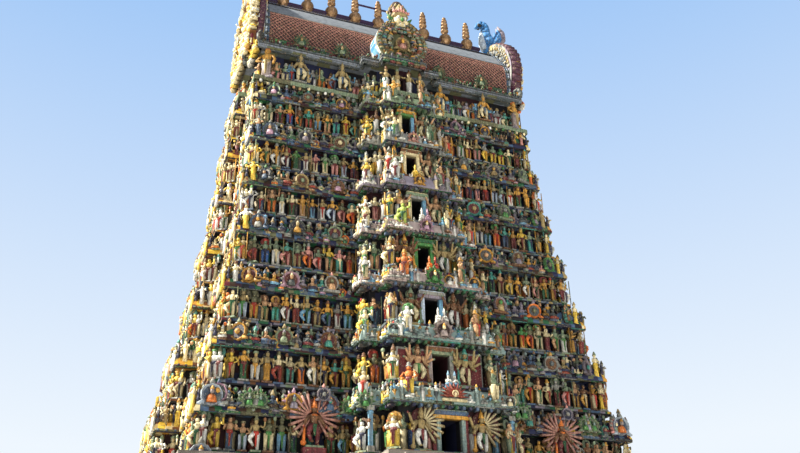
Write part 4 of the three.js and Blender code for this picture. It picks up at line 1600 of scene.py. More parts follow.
@dataclass
class StoreyDress:
    """Everything that is modelled on one stucco storey; a foot is a height above its ledge."""

    storey: Storey
    above: Storey
    shop: Workshop
    painter: Painter
    figure_pitch: float = 0.67
    crowd_pitch: float = 0.6
    painted_sun_share: float = 0.82
    corner_reach: float = 1.1
    shrine_foot: float = 2.34
    corner_statue_foot: float = 2.85
    step_statue_foot: float = 2.9
    giant_scale: float = 1.14
    giant_slab: float = 0.36
    shield_level: float = 15.3

    def __post_init__(self) -> None:
        """Works out both plans."""
        self.plan = Plan.of_storey(self.storey)
        self.next_plan = Plan.of_storey(self.above)

    def at(self, spot: Spot, height: float, forward: float = 0.0) -> Vector:
        """A spot as a point in space.

        Args:
            spot: the place on the ledge.
            height: how far above this storey's ledge.
            forward: how far it is moved outward.

        Returns:
            The point, in real metres.
        """
        ahead = Vector((math.sin(spot.facing), -math.cos(spot.facing)))
        flat = spot.place + ahead * forward
        return Vector((flat.x, flat.y, self.storey.sill + height))

    def row(self, group: Gathering, spots: Sequence[Spot], row: Row, shapes: Sequence[Casting],
            paints: Callable[[], Paints]) -> None:
        """Adds a row of varied shapes.

        Args:
            group: the piece that they join.
            spots: their places.
            row: how they stand.
            shapes: what is chosen from.
            paints: gives each its paints.
        """
        paint = self.painter
        for spot in spots:
            colours = paints()
            # Places in the painted sunlight mostly get pale body and dress paints.
            if self.in_painted_sun(spot) and paint.between(0, 1) < self.painted_sun_share:
                colours |= {Zone.SKIN: paint.pick(PAINTED_SUNLIGHT), Zone.DRESS: paint.pick(PAINTED_SUNLIGHT), Zone.SHELL: P.CREAM}
            shape = paint.one(shapes)
            place = self.at(spot, row.foot, paint.between(-0.05, 0.05))
            facing = self.outward(spot) + paint.between(-0.25, 0.25)
            scale = paint.between(*row.sizes)
            group.put(shape, place, facing, colours, scale, row.stretch, paint.between(*row.tints))

    def in_painted_sun(self, spot: Spot) -> bool:
        """Whether a place gets the painted sunlight: on the tower's ends or by its corners."""
        by_corner = abs(spot.place.x) > self.plan.half_width - self.corner_reach
        return abs(math.sin(spot.facing)) > 0.5 or by_corner

    def outward(self, spot: Spot) -> float:
        """The facing of a shape at a spot: by the corners it turns towards the tower's end.

        Args:
            spot: the place on the ledge.

        Returns:
            The turn about the upright.
        """
        past = abs(spot.place.x) - self.plan.half_width
        if abs(math.sin(spot.facing)) > 0.5 or past < -1.6:
            return spot.facing
        turn = math.radians(50 if past > 0 else 35)
        return spot.facing + math.copysign(turn, spot.place.x) * math.cos(spot.facing)

    def figures(self) -> Gathering:
        """The rows of standing figures, with the wall posts behind them.

        Returns:
            The piece's copies.
        """
        rows = Gathering(f"figures_{self.storey.key}")
        paint, plan, shop = self.painter, self.plan, self.shop
        front = [spot for spot in plan.spots(0.1, self.figure_pitch, WINGS, 0.12) if self.free(spot)]
        self.row(rows, front, FRONT_ROW, shop.figures, paint.figure)
        behind = plan.spots(0.55, self.figure_pitch * 1.6, WINGS, 0.0)
        self.row(rows, behind, BACK_ROW, shop.attendants, paint.figure)
        self.row(rows, plan.spots(0.3, 0.9, STEPS, 0.1), STEP_ROW, shop.figures, paint.figure)
        for spot in plan.spots(0.78, 1.9, tuple(Run), 0.1):
            if spot.run is not Run.BAY or abs(spot.place.x) > self.storey.door_wide / 2 + 0.4:
                rows.put(shop.pilaster, self.at(spot, 0.0), spot.facing, paint.shrine(), tint=0.55)
        # The corner figures wear the pale paints of painted sunlight.
        for place, facing in plan.outer_corners(0.3):
            spot = Vector((place.x, place.y, self.storey.sill))
            rows.put(paint.one(shop.figures), spot, facing, paint.clad(PAINTED_SUNLIGHT), 1.2, (1.1, 1.1, 1.0))
        return rows

    def free(self, spot: Spot) -> bool:
        """Whether no large many-armed figure stands at a spot."""
        large = LARGE_FIGURES if self.storey.key == "a" else ()
        return spot.run is not Run.WING or all(abs(spot.place.x - place) > 0.75 for place in large)

    def eaves(self) -> Gathering:
        """The painted eave blocks, and the arches and shrines that stand on them.

        Returns:
            The piece's copies.
        """
        crest = Gathering(f"eaves_{self.storey.key}")
        paint, plan, shop = self.painter, self.plan, self.shop
        for runs, foot in ((WINGS, CORNICE_FOOT - 0.06), ((*STEPS, Run.BAY), BAY_CORNICE_FOOT - 0.06)):
            for spot in plan.spots(0.0, 1.2, runs, 0.02):
                place = self.at(spot, foot, paint.between(-0.08, 0.06))
                colours = {zone: paint.pick(EAVES) for zone in (Zone.SHELL, Zone.TRIM, Zone.GOLD)}
                colours[Zone.STONE] = paint.pick(DEEP)
                crest.put(shop.eave, place, spot.facing, colours, 0.55, (spot.width / 0.55, 1, 1),
                          paint.between(0.5, 1.1))
        arches = [spot for spot in plan.spots(0.05, 1.25, WINGS, 0.1) if self.free(spot)]
        middle = [spot for spot in arches if not self.in_painted_sun(spot)]
        self.row(crest, middle, ARCH_ROW, (shop.arch, *shop.kudus, shop.head, *shop.seated), paint.shrine)
        self.row(crest, plan.spots(0.02, 0.62, ENDS, 0.05), END_ROW, shop.attendants, paint.figure)
        most = 1.05 if self.storey.key == "g" else 1.25
        shrine = Row(self.shrine_foot, (most - 0.15, most))
        kinds = (shop.arch, shop.kudus[2], shop.kudus[2], shop.kudus[0], shop.kudus[1])
        for spot in plan.shrine_spots():
            chosen = (shop.arch, shop.kudus[2], shop.seated[4]) if self.in_painted_sun(spot) else kinds
            self.row(crest, [spot], shrine, chosen, paint.shrine)
        return crest

    def crowd(self) -> Gathering:
        """The small figures between the shrines, and the frieze of lions under the next ledge.

        Returns:
            The piece's copies.
        """
        crowd = Gathering(f"crowd_{self.storey.key}")
        paint, plan, shop, above = self.painter, self.plan, self.shop, self.next_plan
        shrines = [spot.place for spot in plan.shrine_spots()]
        between = [spot for spot in plan.spots(0.2, self.crowd_pitch, WINGS, 0.1)
                   if min((spot.place - place).length for place in shrines) > 0.55]
        middle = [spot for spot in between if not self.in_painted_sun(spot)]
        self.row(crowd, middle, SEATED_ROW, (*shop.seated, shop.head), paint.muted)
        ends = [spot for spot in between if self.in_painted_sun(spot)]
        self.row(crowd, ends, END_CROWD, (*shop.attendants, *shop.seated[:2]), paint.figure)
        self.row(crowd, plan.spots(0.5, 0.8, WINGS, 0.1), BACK_CROWD, shop.attendants, paint.muted)
        self.row(crowd, above.spots(-0.06, 0.6, WINGS, 0.1), LION_ROW, shop.lions, self.watcher)
        masks = (shop.head, *shop.seated)
        self.row(crowd, above.spots(0.16, 0.95, WINGS, 0.3), MASK_ROW, masks, self.watcher)
        for place, facing in plan.outer_corners(0.2):
            spot = Vector((place.x, place.y, self.storey.sill + 2.5))
            crowd.put(shop.spike, spot, facing, {Zone.GOLD: P.NAVY}, 1.05)
        return crowd

    def watcher(self) -> Paints:
        """Paints of the frieze under the next ledge: pale faces on dark bodies.

        Returns:
            The paint of each zone.
        """
        paint = self.painter
        colours = paint.beast()
        colours[Zone.DRESS] = paint.pick(DEEP)
        colours[Zone.SASH] = paint.pick(DEEP | {P.GREY: 3, P.LILAC: 3})
        colours[Zone.STONE] = P.NAVY
        return colours

    def front(self, facing: float, across: float, forward: float, height: float) -> Vector:
        """A point by the bay, on the front or the back, its height above this storey's ledge."""
        return side_point(facing, across, forward, self.storey.sill + height)

    def doorway(self, group: Gathering, facing: float, paints: Sequence[Pigment]) -> None:
        """Adds the jambs, the lintel and the panel over it.

        Args:
            group: the piece that they join.
            facing: which side of the tower.
            paints: left jamb, right jamb, lintel and panel.
        """
        half = self.storey.door_wide / 2
        face = self.plan.half_depth + self.plan.bay_out - 0.8
        brick = self.shop.brick_soft
        for side, paint in zip((-1, 1), paints):
            for out, wide, high, colour in ((0.13, 0.24, 1.9, paint), (0.36, 0.2, 2.05, P.MAROON)):
                place = self.front(facing, side * (half + out), face + 0.2 - out / 2, 0)
                group.put(brick, place, facing, {Zone.SHELL: colour}, 1.0, (wide, 0.36, high))
        wide = 2 * half + 0.9
        courses = ((paints[2], 0.2), (paints[3], 0.22), (paints[0], 0.1), (paints[3], 0.2))
        for step, (paint, high) in enumerate(courses):
            place = self.front(facing, 0, face + 0.16 + 0.05 * (step % 2), 1.88 + 0.2 * step)
            group.put(brick, place, facing, {Zone.SHELL: paint}, 1.0, (wide - 0.1 * step, 0.44, high))
        for step in range(5):
            place = self.front(facing, (step - 2) * wide * 0.17, face + 0.3, 2.0)
            group.put(self.shop.head, place, facing, self.painter.beast(), 0.55)

    def relief(self) -> Paints:
        """Paints of the small figures along the bay's eave.

        Returns:
            The paint of each zone.
        """
        paint, band = self.painter, BANDS[self.storey.key]
        pale = {P.WHITE: 3, P.SKY: 2, P.GREY: 3, P.CREAM: 1, band: 5, P.OCHRE: 1, P.SLATE: 1}
        return paint.beast() | {
            Zone.SKIN: paint.pick(pale), Zone.DRESS: paint.pick(pale),
            Zone.SHELL: paint.pick({band: 2, P.OCHRE: 1, P.BLUSH: 1}), Zone.STONE: band,
            Zone.SASH: paint.pick({band: 3, P.DENIM: 2, P.FOREST: 2, P.GREY: 2}), Zone.DARK: P.INK}

    def statue(self, group: Gathering, place: Vector, facing: float, palette: Palette, scale: float) -> None:
        """Adds one of the larger statues at the bay's corners.

        Args:
            group: the piece that it joins.
            place: where its feet are.
            facing: its turn about the upright.
            palette: the paints of its body and dress.
            scale: its size.
        """
        shape = self.painter.one(self.shop.figures)
        group.put(shape, place, facing, self.painter.clad(palette), scale, (1.2, 1.2, 1.0))

    def bay(self, frame: Sequence[Pigment], crest: Pigment, fan: bool) -> Gathering:
        """The door guardians and door, the statues before them and the arch over the door, front and back.

        Args:
            frame: the paints of the door's frame.
            crest: the paint of the arch on the bay's eave.
            fan: whether the guardians have fans of many arms.

        Returns:
            The piece's copies.
        """
        group = Gathering(f"bay_{self.storey.key}")
        for facing in FRONT_AND_BACK:
            self.doorway(group, facing, frame)
            for side in (-1, 1):
                self.keepers(group, facing, side, fan)
            self.door_crest(group, facing, crest, fan)
        self.bay_reliefs(group)
        if fan:
            self.wing_giants(group)
        if self.storey.key == "b":
            for side in (-1, 1):
                out = self.plan.half_width + self.plan.side_out + 0.42
                place = (side * out, 0.6, self.shield_level)
                group.put(self.shop.shield, place, side * math.pi / 2, {Zone.SHELL: P.YELLOW})
        return group

    def keepers(self, group: Gathering, facing: float, side: int, fan: bool) -> None:
        """Adds the door guardian and the three statues of one half of the bay.

        Args:
            group: the piece that they join.
            facing: which side of the tower.
            side: -1 for the left of the door, 1 for the right.
            fan: whether the guardian has a fan of many arms.
        """
        paint, plan, shop, key = self.painter, self.plan, self.shop, self.storey.key
        reach = plan.half_depth + plan.bay_out
        offset = self.storey.door_wide / 2 + (1.2 if fan else 0.95)
        four = shop.guardian_four if key in "bd" else shop.guardian
        colours = paint.figure() | {Zone.SKIN: paint.pick({P.TAN: 3, P.KHAKI: 3, P.BROWN: 1}),
                                    Zone.DRESS: paint.pick({P.WHITE: 2, P.CREAM: 3}),
                                    Zone.TRIM: P.MAROON if fan else P.SAGE, Zone.SHELL: P.CREAM}
        group.put(shop.guardian_fan if fan else four, self.front(facing, side * offset, reach - 0.45, 0),
                  facing, colours, 1.05, (1 if fan else side, 1, 1))
        self.behind_guardian(group, facing, side, offset)
        place = self.front(facing, side * (plan.bay_half - 0.35), reach - 0.3, 0)
        self.statue(group, place, facing + side * 0.6, SKINS, 1.3)
        # The statues on the left keep their listed paints, the step statue there the pale paints of painted
        # sunlight; those on the right get a muted set, as painted shade.
        lit_left_shaded_right = STATUES[key] if side < 0 else {P.TAN: 1, P.SAGE: 1, P.CREAM: 1}
        inward = 1.2 if key in "abcd" else 0.75
        place = self.front(facing, side * (plan.bay_half - inward), reach - 0.12, self.corner_statue_foot)
        self.statue(group, place, facing + side * 0.7, lit_left_shaded_right, 1.22)
        out = plan.half_depth + plan.wide_out - 0.2
        place = self.front(facing, side * (plan.wide_half - 0.35), out, self.step_statue_foot)
        self.statue(group, place, facing + side * 0.7, PAINTED_SUNLIGHT if side < 0 else lit_left_shaded_right, 1.15)

    def door_crest(self, group: Gathering, facing: float, crest: Pigment, fan: bool) -> None:
        """Adds the arch over the door on the bay's eave, and the two small figures on it.

        Args:
            group: the piece that they join.
            facing: which side of the tower.
            crest: the arch's paint.
            fan: whether it is the wide fan of leaves.
        """
        shop, foot = self.shop, BAY_CORNICE_FOOT + 0.12
        reach = self.plan.half_depth + self.plan.bay_out
        paints = {Zone.SHELL: crest, Zone.TRIM: P.CREAM if fan else crest, Zone.DARK: P.WINE,
                  Zone.SKIN: P.CREAM, Zone.DRESS: crest, Zone.GOLD: P.OCHRE}
        size = CREST_SIZES.get(self.storey.key, 0.82)
        arch = shop.leaf_fan if fan else shop.kudus[2]
        group.put(arch, self.front(facing, 0, reach + 0.04, foot), facing, paints, size)
        for side, colour in zip((-1, 1), PAIRS.get(self.storey.key, ())):
            place = self.front(facing, side * 0.2, reach - 0.2, foot + 0.83 * size)
            paints = {zone: colour for zone in (Zone.DRESS, Zone.STONE, Zone.GOLD)}
            paints[Zone.SKIN] = P.WHITE if colour is P.SKY else colour
            group.put(shop.seated[1], place, facing, paints, 0.95, (0.8, 1, 1.1))

    def bay_reliefs(self, group: Gathering) -> None:
        """Adds the rows of small figures and dark blocks along the bay's eave.

        Args:
            group: the piece that they join.
        """
        paint, plan, shop = self.painter, self.plan, self.shop
        stepped = (Run.BAY, *STEPS)
        along = [spot for spot in plan.spots(0.06, 0.42, stepped, 0.05)
                 if spot.run is not Run.BAY or abs(spot.place.x) > 0.85]
        kinds = (*shop.seated[:4], *shop.attendants[:2], shop.arch)
        self.row(group, along, EAVE_RELIEF, kinds, self.relief)
        self.row(group, plan.spots(0.42, 0.62, stepped, 0.05), UPPER_RELIEF, shop.seated[:4], self.relief)
        for spot in plan.spots(0.3, 0.42, stepped, 0.1):
            colour = paint.pick({P.FOREST: 3, P.SLATE: 2, P.DENIM: 1, P.NAVY: 2})
            group.put(shop.brick, self.at(spot, 2.36), spot.facing, {Zone.SHELL: colour}, 1.0,
                      (0.16, 0.4, 0.18))

    def behind_guardian(self, group: Gathering, facing: float, side: int, offset: float) -> None:
        """Adds what stands behind a door guardian: small figures, or framed panels on the second storey.

        Args:
            group: the piece that it joins.
            facing: which side of the tower.
            side: -1 for the left of the door, 1 for the right.
            offset: how far the guardian is from the door's middle.
        """
        forward = self.plan.half_depth + self.plan.bay_out - 0.72
        if self.storey.key == "b":
            for wide, high, back, colour in ((1.95, 2.15, 0.06, P.GREY), (1.75, 2.0, 0.0, P.MAROON)):
                place = self.front(facing, side * (offset + 0.25), forward - back, 0.05)
                group.put(self.shop.brick, place, facing, {Zone.SHELL: colour}, 1.0, (wide, 0.2, high))
            return
        # These stand behind the guardian and are painted darker, as painted shade.
        for across in (offset - 0.5, offset + 0.45, offset + 0.95):
            place = self.front(facing, side * across, forward, 0.05)
            shape = self.painter.one(self.shop.attendants)
            group.put(shape, place, facing, self.painter.figure(), 1.3, tint=0.6)

    def wing_giants(self, group: Gathering) -> None:
        """Adds the red many-armed figures, the pale posts and the green twin arches of the lowest wings.

        Args:
            group: the piece that they join.
        """
        shop, plan = self.shop, self.plan
        giant = {Zone.SKIN: P.BROWN, Zone.DRESS: P.MAROON, Zone.SASH: P.FOREST, Zone.GOLD: P.ORANGE,
                 Zone.TRIM: P.BRICK, Zone.SHELL: P.ROSE, Zone.STONE: P.SAGE}
        bead = {Zone.SHELL: P.LILAC, Zone.TRIM: P.PINK, Zone.GOLD: P.GREY, Zone.DARK: P.NAVY}
        post = {Zone.SHELL: P.SKY, Zone.TRIM: P.GREY, Zone.GOLD: P.SKY, Zone.SASH: P.GREY}
        leafy = {Zone.SHELL: P.SAGE, Zone.TRIM: P.GREEN, Zone.GOLD: P.SAGE, Zone.DARK: P.FOREST,
                 Zone.DRESS: P.GREEN, Zone.SKIN: P.AQUA}
        hazy = {Zone.SHELL: P.HAZE, Zone.TRIM: P.GREY, Zone.DARK: P.DENIM, Zone.DRESS: P.ORANGE,
                Zone.SKIN: P.BLUSH, Zone.GOLD: P.OCHRE}
        for facing in FRONT_AND_BACK:
            for across in LARGE_FIGURES:
                place = self.front(facing, across, plan.half_depth + 0.12, 0.0)
                slab = (1.3, 0.6, self.giant_slab)
                group.put(shop.brick_soft, place, facing, {Zone.SHELL: P.MAROON}, 1.0, slab)
                place.z += self.giant_slab
                group.put(shop.guardian_wheel, place, facing, giant, self.giant_scale)
                place = self.front(facing, across + 0.5, plan.half_depth + 0.2, 2.95)
                group.put(shop.kudus[1], place, facing, bead, 0.9)
            for across in (-4.45, 4.2):
                place = self.front(facing, across, plan.half_depth + plan.wide_out + 0.02, 0)
                group.put(shop.pilaster, place, facing, post, 1.35)
            for across in (-10.8, -10.2, -5.2, -4.75, 4.6, 5.05, 10.2, 10.8):
                forward = plan.wide_out + 0.06 if abs(across) < plan.wide_half + 0.1 else 0.1
                place = self.front(facing, across, plan.half_depth + forward, 2.35)
                group.put(shop.kudus[2], place, facing, leafy, 0.95)
            for side in (-1, 1):
                for height, out in ((2.3, 0.12), (-0.95, 0.5)):
                    across = side * (plan.half_width - 0.95 + out)
                    place = self.front(facing, across, plan.half_depth + out, height)
                    group.put(shop.kudus[0], place, facing, hazy, 1.35, tint=0.85)


@dataclass
class PavilionDress:
    """The top pavilion's figures, its moulded ledge and its eave with the round arches."""

    storey: Storey
    shop: Workshop
    painter: Painter
    eave_foot: float = 41.0
    large_places: tuple[float, ...] = (-7.65, -4.45, 3.6, 7.35)
    porch_places: tuple[float, ...] = (-1.38, -0.48, 0.48, 1.38)

    def __post_init__(self) -> None:
        """Works out the plan."""
        self.plan = Plan.of_storey(self.storey)

    def lifted(self, spot: Spot, height: float) -> Vector:
        """A spot at a height above the pavilion's ledge."""
        return Vector((spot.place.x, spot.place.y, self.storey.sill + height))

    def figures(self) -> Gathering:
        """The standing figures, four large ones with attendants on each long side, and the porch's four.

        Returns:
            The piece's copies.
        """
        rows = Gathering("figures_h")
        paint, shop, plan = self.painter, self.shop, self.plan
        light = {P.WHITE: 5, P.PINK: 3, P.YELLOW: 2, P.CREAM: 3, P.SKY: 1, P.ORANGE: 1, P.OCHRE: 1}
        cool = {P.GREY: 4, P.TEAL: 2, P.SAGE: 3, P.TAN: 2, P.LILAC: 2, P.OCHRE: 1}
        for spot in plan.spots(0.3, 0.7, (*WINGS, *STEPS), 0.15):
            ahead = spot.place.x if abs(spot.facing) < 1 else -spot.place.x
            near = min(abs(ahead - place) for place in self.large_places)
            at_end = abs(spot.place.x) > plan.half_width - 1.2
            if spot.run is Run.WING and (near < 0.42 or at_end):
                continue
            # The figures on the ends wear the pale paints of painted sunlight.
            palette = PAINTED_SUNLIGHT if abs(math.sin(spot.facing)) > 0.5 else light
            shape, facing = paint.one(shop.figures), spot.facing + paint.between(-0.2, 0.2)
            colours = paint.figure() | {Zone.DRESS: paint.pick(palette), Zone.SKIN: paint.pick(cool)}
            rows.put(shape, self.lifted(spot, 0), facing, colours, paint.between(1.15, 1.32), (1.12, 1.1, 1))
        # The row behind is painted dark, as painted shade.
        for spot in plan.spots(0.72, 1.2, WINGS, 0.0):
            shape = paint.one(shop.attendants)
            rows.put(shape, self.lifted(spot, 0.3), spot.facing, paint.figure(), 1.25, tint=0.4)
        for facing in FRONT_AND_BACK:
            self.large_figures(rows, facing)
        return rows

    def large_figures(self, rows: Gathering, facing: float) -> None:
        """Adds one long side's large figures and attendants, the porch's four and the corner keepers.

        Args:
            rows: the piece that they join.
            facing: which side of the tower.
        """
        paint, shop, plan, sill = self.painter, self.shop, self.plan, self.storey.sill
        for across in self.large_places:
            spot = side_point(facing, across, plan.half_depth + 0.02, sill + 0.2)
            colours = paint.figure() | {
                Zone.SKIN: paint.pick({P.OCHRE: 2, P.KHAKI: 3}),
                Zone.DRESS: paint.pick({P.TEAL: 2, P.CREAM: 1}),
                Zone.TRIM: P.SLATE, Zone.SASH: P.DENIM, Zone.SHELL: P.SKY, Zone.GOLD: P.KHAKI}
            stretch = (0.92 if across > 0 else -0.92, 0.8, 1)
            rows.put(shop.guardian_plain, spot, facing, colours, 1.15, stretch)
            for side in (-0.62, 0.62):
                spot = side_point(facing, across + side, plan.half_depth - 0.15, sill + 0.2)
                shape = paint.one(shop.figures)
                colours = paint.figure() | {Zone.SKIN: P.SKY, Zone.DRESS: P.DENIM, Zone.TRIM: P.SKY}
                rows.put(shape, spot, facing, colours, 1.1)
        for across in self.porch_places:
            spot = side_point(facing, across, plan.half_depth + plan.bay_out - 0.35, sill)
            shape = paint.one(shop.attendants)
            colours = paint.figure() | {
                Zone.DRESS: paint.pick({P.CREAM: 2, P.WHITE: 1, P.BLUSH: 1}), Zone.SKIN: P.KHAKI}
            rows.put(shape, spot, facing, colours, 1.6, (0.9, 1, 1))
        keeper = {Zone.SKIN: P.OCHRE, Zone.DRESS: P.BLUSH, Zone.HAIR: P.ORANGE, Zone.STONE: P.LILAC,
                  Zone.SASH: P.KHAKI}
        for side in (-1, 1):
            spot = side_point(facing, side * (plan.half_width - 0.7), plan.half_depth - 0.1, sill)
            rows.put(shop.keeper, spot, facing + side * 0.5, keeper, 1.9, (1.2, 1.1, 1))

    def eaves(self) -> Gathering:
        """The ledge's two rolls, the eave with its round arches and the curled beasts at its corners.

        Returns:
            The piece's copies.
        """
        crest = Gathering("eaves_h")
        paint, shop, plan = self.painter, self.shop, self.plan
        every = tuple(Run)
        for height, colour in ((-0.5, P.OLIVE), (-0.2, P.SAGE)):
            for spot in plan.spots(-0.06, 2.6, every, 0.0):
                crest.put(shop.eave, self.lifted(spot, height), spot.facing, {
                    Zone.SHELL: colour, Zone.TRIM: P.UMBER, Zone.STONE: P.SAGE, Zone.GOLD: colour}, 0.8,
                    (spot.width / 0.8, 0.9, 1), 0.95)
        for spot in plan.spots(-0.14, 2.6, every, 0.0):
            colour = paint.pick({P.SAGE: 3, P.OLIVE: 1})
            crest.put(shop.brick, self.lifted(spot, -0.26), spot.facing, {Zone.SHELL: colour}, 1.0,
                      (spot.width, 0.16, 0.36), paint.between(0.75, 0.9))
        lift = self.eave_foot - self.storey.sill
        for spot in plan.spots(0.02, 3.4, every, 0.0):
            # The eave blocks on the ends are cream, as painted sunlight; the long sides' are slate.
            grey = P.CREAM if spot.run in ENDS else P.SLATE
            crest.put(shop.eave, self.lifted(spot, lift - 0.1), spot.facing, {
                Zone.SHELL: grey, Zone.TRIM: P.SLATE, Zone.STONE: P.DUSK, Zone.GOLD: grey}, 1.2,
                (spot.width / 1.2, 1, 1), 0.9)
        for height, colour in ((0.12, P.DUSK), (0.34, P.SLATE)):
            for spot in plan.spots(-0.02, 3.4, (Run.WING, *STEPS, Run.BAY), 0.0):
                place, size = self.lifted(spot, lift + height), (spot.width, 0.16, 0.14)
                crest.put(shop.brick, place, spot.facing, {Zone.SHELL: colour}, 1.0, size,
                          paint.between(0.7, 1.0))
        self.lip(crest, lift)
        for place, facing in plan.outer_corners(0.25):
            if abs(place.x) > plan.half_width - 1.0:
                crest.put(shop.curl, (place.x, place.y, self.eave_foot + 0.4), facing - math.pi / 2, {
                    Zone.SHELL: P.SLATE}, 1.0)
        # The seated figures and arches on the ends take the pale paints of painted sunlight.
        for spot in plan.spots(-0.12, 0.62, ENDS, 0.05):
            shape = paint.one(shop.seated)
            crest.put(shape, self.lifted(spot, lift - 0.35), spot.facing, paint.speckled(PAINTED_SUNLIGHT), 1.2)
        for spot in plan.spots(0.2, 0.75, ENDS, 0.1):
            shape = paint.one(shop.kudus)
            colours = paint.shrine() | {Zone.SHELL: paint.pick(PAINTED_SUNLIGHT), Zone.DRESS: paint.pick(PAINTED_SUNLIGHT)}
            crest.put(shape, self.lifted(spot, lift + 0.4), spot.facing, colours, 0.85)
        return crest

    def lip(self, crest: Gathering, lift: float) -> None:
        """Adds the round arches and the small dark leaves and heads on the long sides' eave.

        Args:
            crest: the piece that they join.
            lift: how far the eave's foot is above the pavilion's ledge.
        """
        paint, shop, plan = self.painter, self.shop, self.plan
        leaves = {P.FOREST: 4, P.BROWN: 2, P.UMBER: 3, P.OLIVE: 3, P.SAGE: 1, P.MAROON: 2, P.NAVY: 2}
        arch = {Zone.SHELL: P.OLIVE, Zone.TRIM: P.FOREST, Zone.DARK: P.FOREST, Zone.SKIN: P.KHAKI,
                Zone.DRESS: P.SAGE, Zone.GOLD: P.BROWN}
        for facing in FRONT_AND_BACK:
            for across in self.large_places:
                spot = side_point(facing, across, plan.half_depth - 0.1, self.eave_foot + 0.85)
                crest.put(shop.kudus[2], spot, facing, arch, 1.12)
        for outset, height, pitch in ((0.12, 0.62, 0.5), (-0.06, 0.36, 0.62)):
            for spot in plan.spots(outset, pitch, (Run.WING, *STEPS), 0.05):
                shape, colours = paint.one((shop.head, *shop.lions)), paint.speckled(leaves)
                crest.put(shape, self.lifted(spot, lift + height), spot.facing, colours,
                          paint.between(0.55, 0.75))
        for spot in plan.spots(0.0, 0.5, (Run.BAY,), 0.05):
            shape = paint.one((shop.head, *shop.seated[:2]))
            crest.put(shape, self.lifted(spot, lift - 0.1), spot.facing, paint.speckled(leaves), 1.0)


@dataclass
class Roof:
    """The barrel roof's skin: brick-red lozenge tiles between painted bands."""

    foot: float = 42.55
    top: float = 45.2
    half_length: float = 10.0
    lozenge: float = 0.35
    groove: float = 0.05
    border: float = 0.03
    stand_off: float = 0.08
    mosaic_foot: float = 41.9
    mosaic_rows: int = 3
    mosaic_stones: int = 45
    profile: tuple[tuple[float, float], ...] = (
        (3.35, 41.7), (3.46, 42.6), (3.52, 43.5), (3.42, 44.5), (3.05, 45.5), (2.45, 46.4), (1.75, 47.25),
        (1.05, 48.0), (0.42, 48.7),
    )

    def surface(self, height: float) -> tuple[float, float, float]:
        """The vault's half depth at a height, and the outward direction there.

        Args:
            height: a height between the vault's foot and crown.

        Returns:
            The half depth, and the outward direction's two parts.
        """
        for low, high in zip(self.profile, self.profile[1:]):
            if height <= high[1] or high is self.profile[-1]:
                share = (height - low[1]) / (high[1] - low[1])
                run = Vector((high[0] - low[0], high[1] - low[1])).normalized()
                return low[0] + share * (high[0] - low[0]), run.y, -run.x
        return self.profile[-1][0], 0.0, 1.0

    def tiles(self) -> Casting:
        """One side's lozenge tiles, each sunk inside its raised border.

        Returns:
            The sheet of tiles, bent over the vault on the front side.
        """
        clay = Clay()
        side = self.lozenge / math.sqrt(2)
        reach = self.half_length + (self.top - self.foot)
        count = math.ceil(reach * math.sqrt(2) / side)
        turn = Matrix.Rotation(math.pi / 4, 4, "Z")
        bmesh.ops.create_grid(clay.mesh, x_segments=count, y_segments=count, size=count * side / 2,
                              matrix=turn)
        half_rise = (self.top - self.foot) / 2
        for normal, limit in (((1, 0, 0), self.half_length), ((-1, 0, 0), self.half_length),
                              ((0, 1, 0), half_rise), ((0, -1, 0), half_rise)):
            everything = list(clay.mesh.verts) + list(clay.mesh.edges) + list(clay.mesh.faces)
            bmesh.ops.bisect_plane(clay.mesh, geom=everything, dist=0.001, plane_no=normal,
                                   plane_co=Vector(normal) * limit, clear_outer=True)
        clay.paint(Zone.TRIM, False)
        cells = list(clay.mesh.faces)
        bmesh.ops.inset_individual(clay.mesh, faces=cells, thickness=self.border, depth=-self.groove)
        for cell in cells:
            cell[clay.zone] = Zone.DRESS.value + 1
        for vert in clay.mesh.verts:
            height = (self.foot + self.top) / 2 + vert.co.y
            depth, out_y, out_z = self.surface(height)
            lift = vert.co.z + self.stand_off
            vert.co = Vector((vert.co.x, -(depth + out_y * lift), height + out_z * lift))
        return clay.cast(True)

    def rolls(self) -> Casting:
        """The three rolls that run along one side of the vault.

        Returns:
            The shape, on the front side.
        """
        clay = Clay()
        for height, radius, zone in ((self.top + 0.05, 0.07, Zone.SHELL), (47.72, 0.1, Zone.TRIM),
                                     (self.foot - 0.05, 0.07, Zone.STONE)):
            depth, out_y, out_z = self.surface(height)
            start = (-self.half_length, -(depth + out_y * 0.03), height + out_z * 0.03)
            clay.limb(start, (self.half_length, *start[1:]), radius, radius, zone, 8)
        return clay.cast(True)

    def skin(self, painter: Painter, shop: Workshop) -> Gathering:
        """The tiles, the mosaic band below them and the rolls above.

        Args:
            painter: chooses the mosaic's paints.
            shop: holds the shared castings.

        Returns:
            The piece's copies.
        """
        group = Gathering("roof_skin")
        tiles, rolls = self.tiles(), self.rolls()
        paints = {Zone.TRIM: P.ROSE, Zone.DRESS: P.CLARET}
        bands = {Zone.SHELL: P.GREY, Zone.TRIM: P.NAVY, Zone.STONE: P.GREEN}
        mosaic = {P.GREEN: 2, P.BRICK: 3, P.FOREST: 5, P.MAROON: 3, P.SLATE: 1, P.INK: 3}
        stones = self.mosaic_stones
        for facing in FRONT_AND_BACK:
            group.put(tiles, (0, 0, 0), facing, paints, tint=0.85)
            group.put(rolls, (0, 0, 0), facing, bands, tint=0.4)
            for index in range(stones * self.mosaic_rows):
                across = (index % stones - (stones - 1) // 2) * self.half_length * 2 / stones
                height = self.mosaic_foot + 0.2 * (index // stones)
                spot = side_point(facing, across, self.surface(height)[0] + 0.02, height)
                colour = painter.pick(mosaic)
                group.put(shop.brick, spot, facing, {Zone.SHELL: colour}, 1.0, (0.4, 0.2, 0.18),
                          painter.between(0.5, 1.0))
        return group


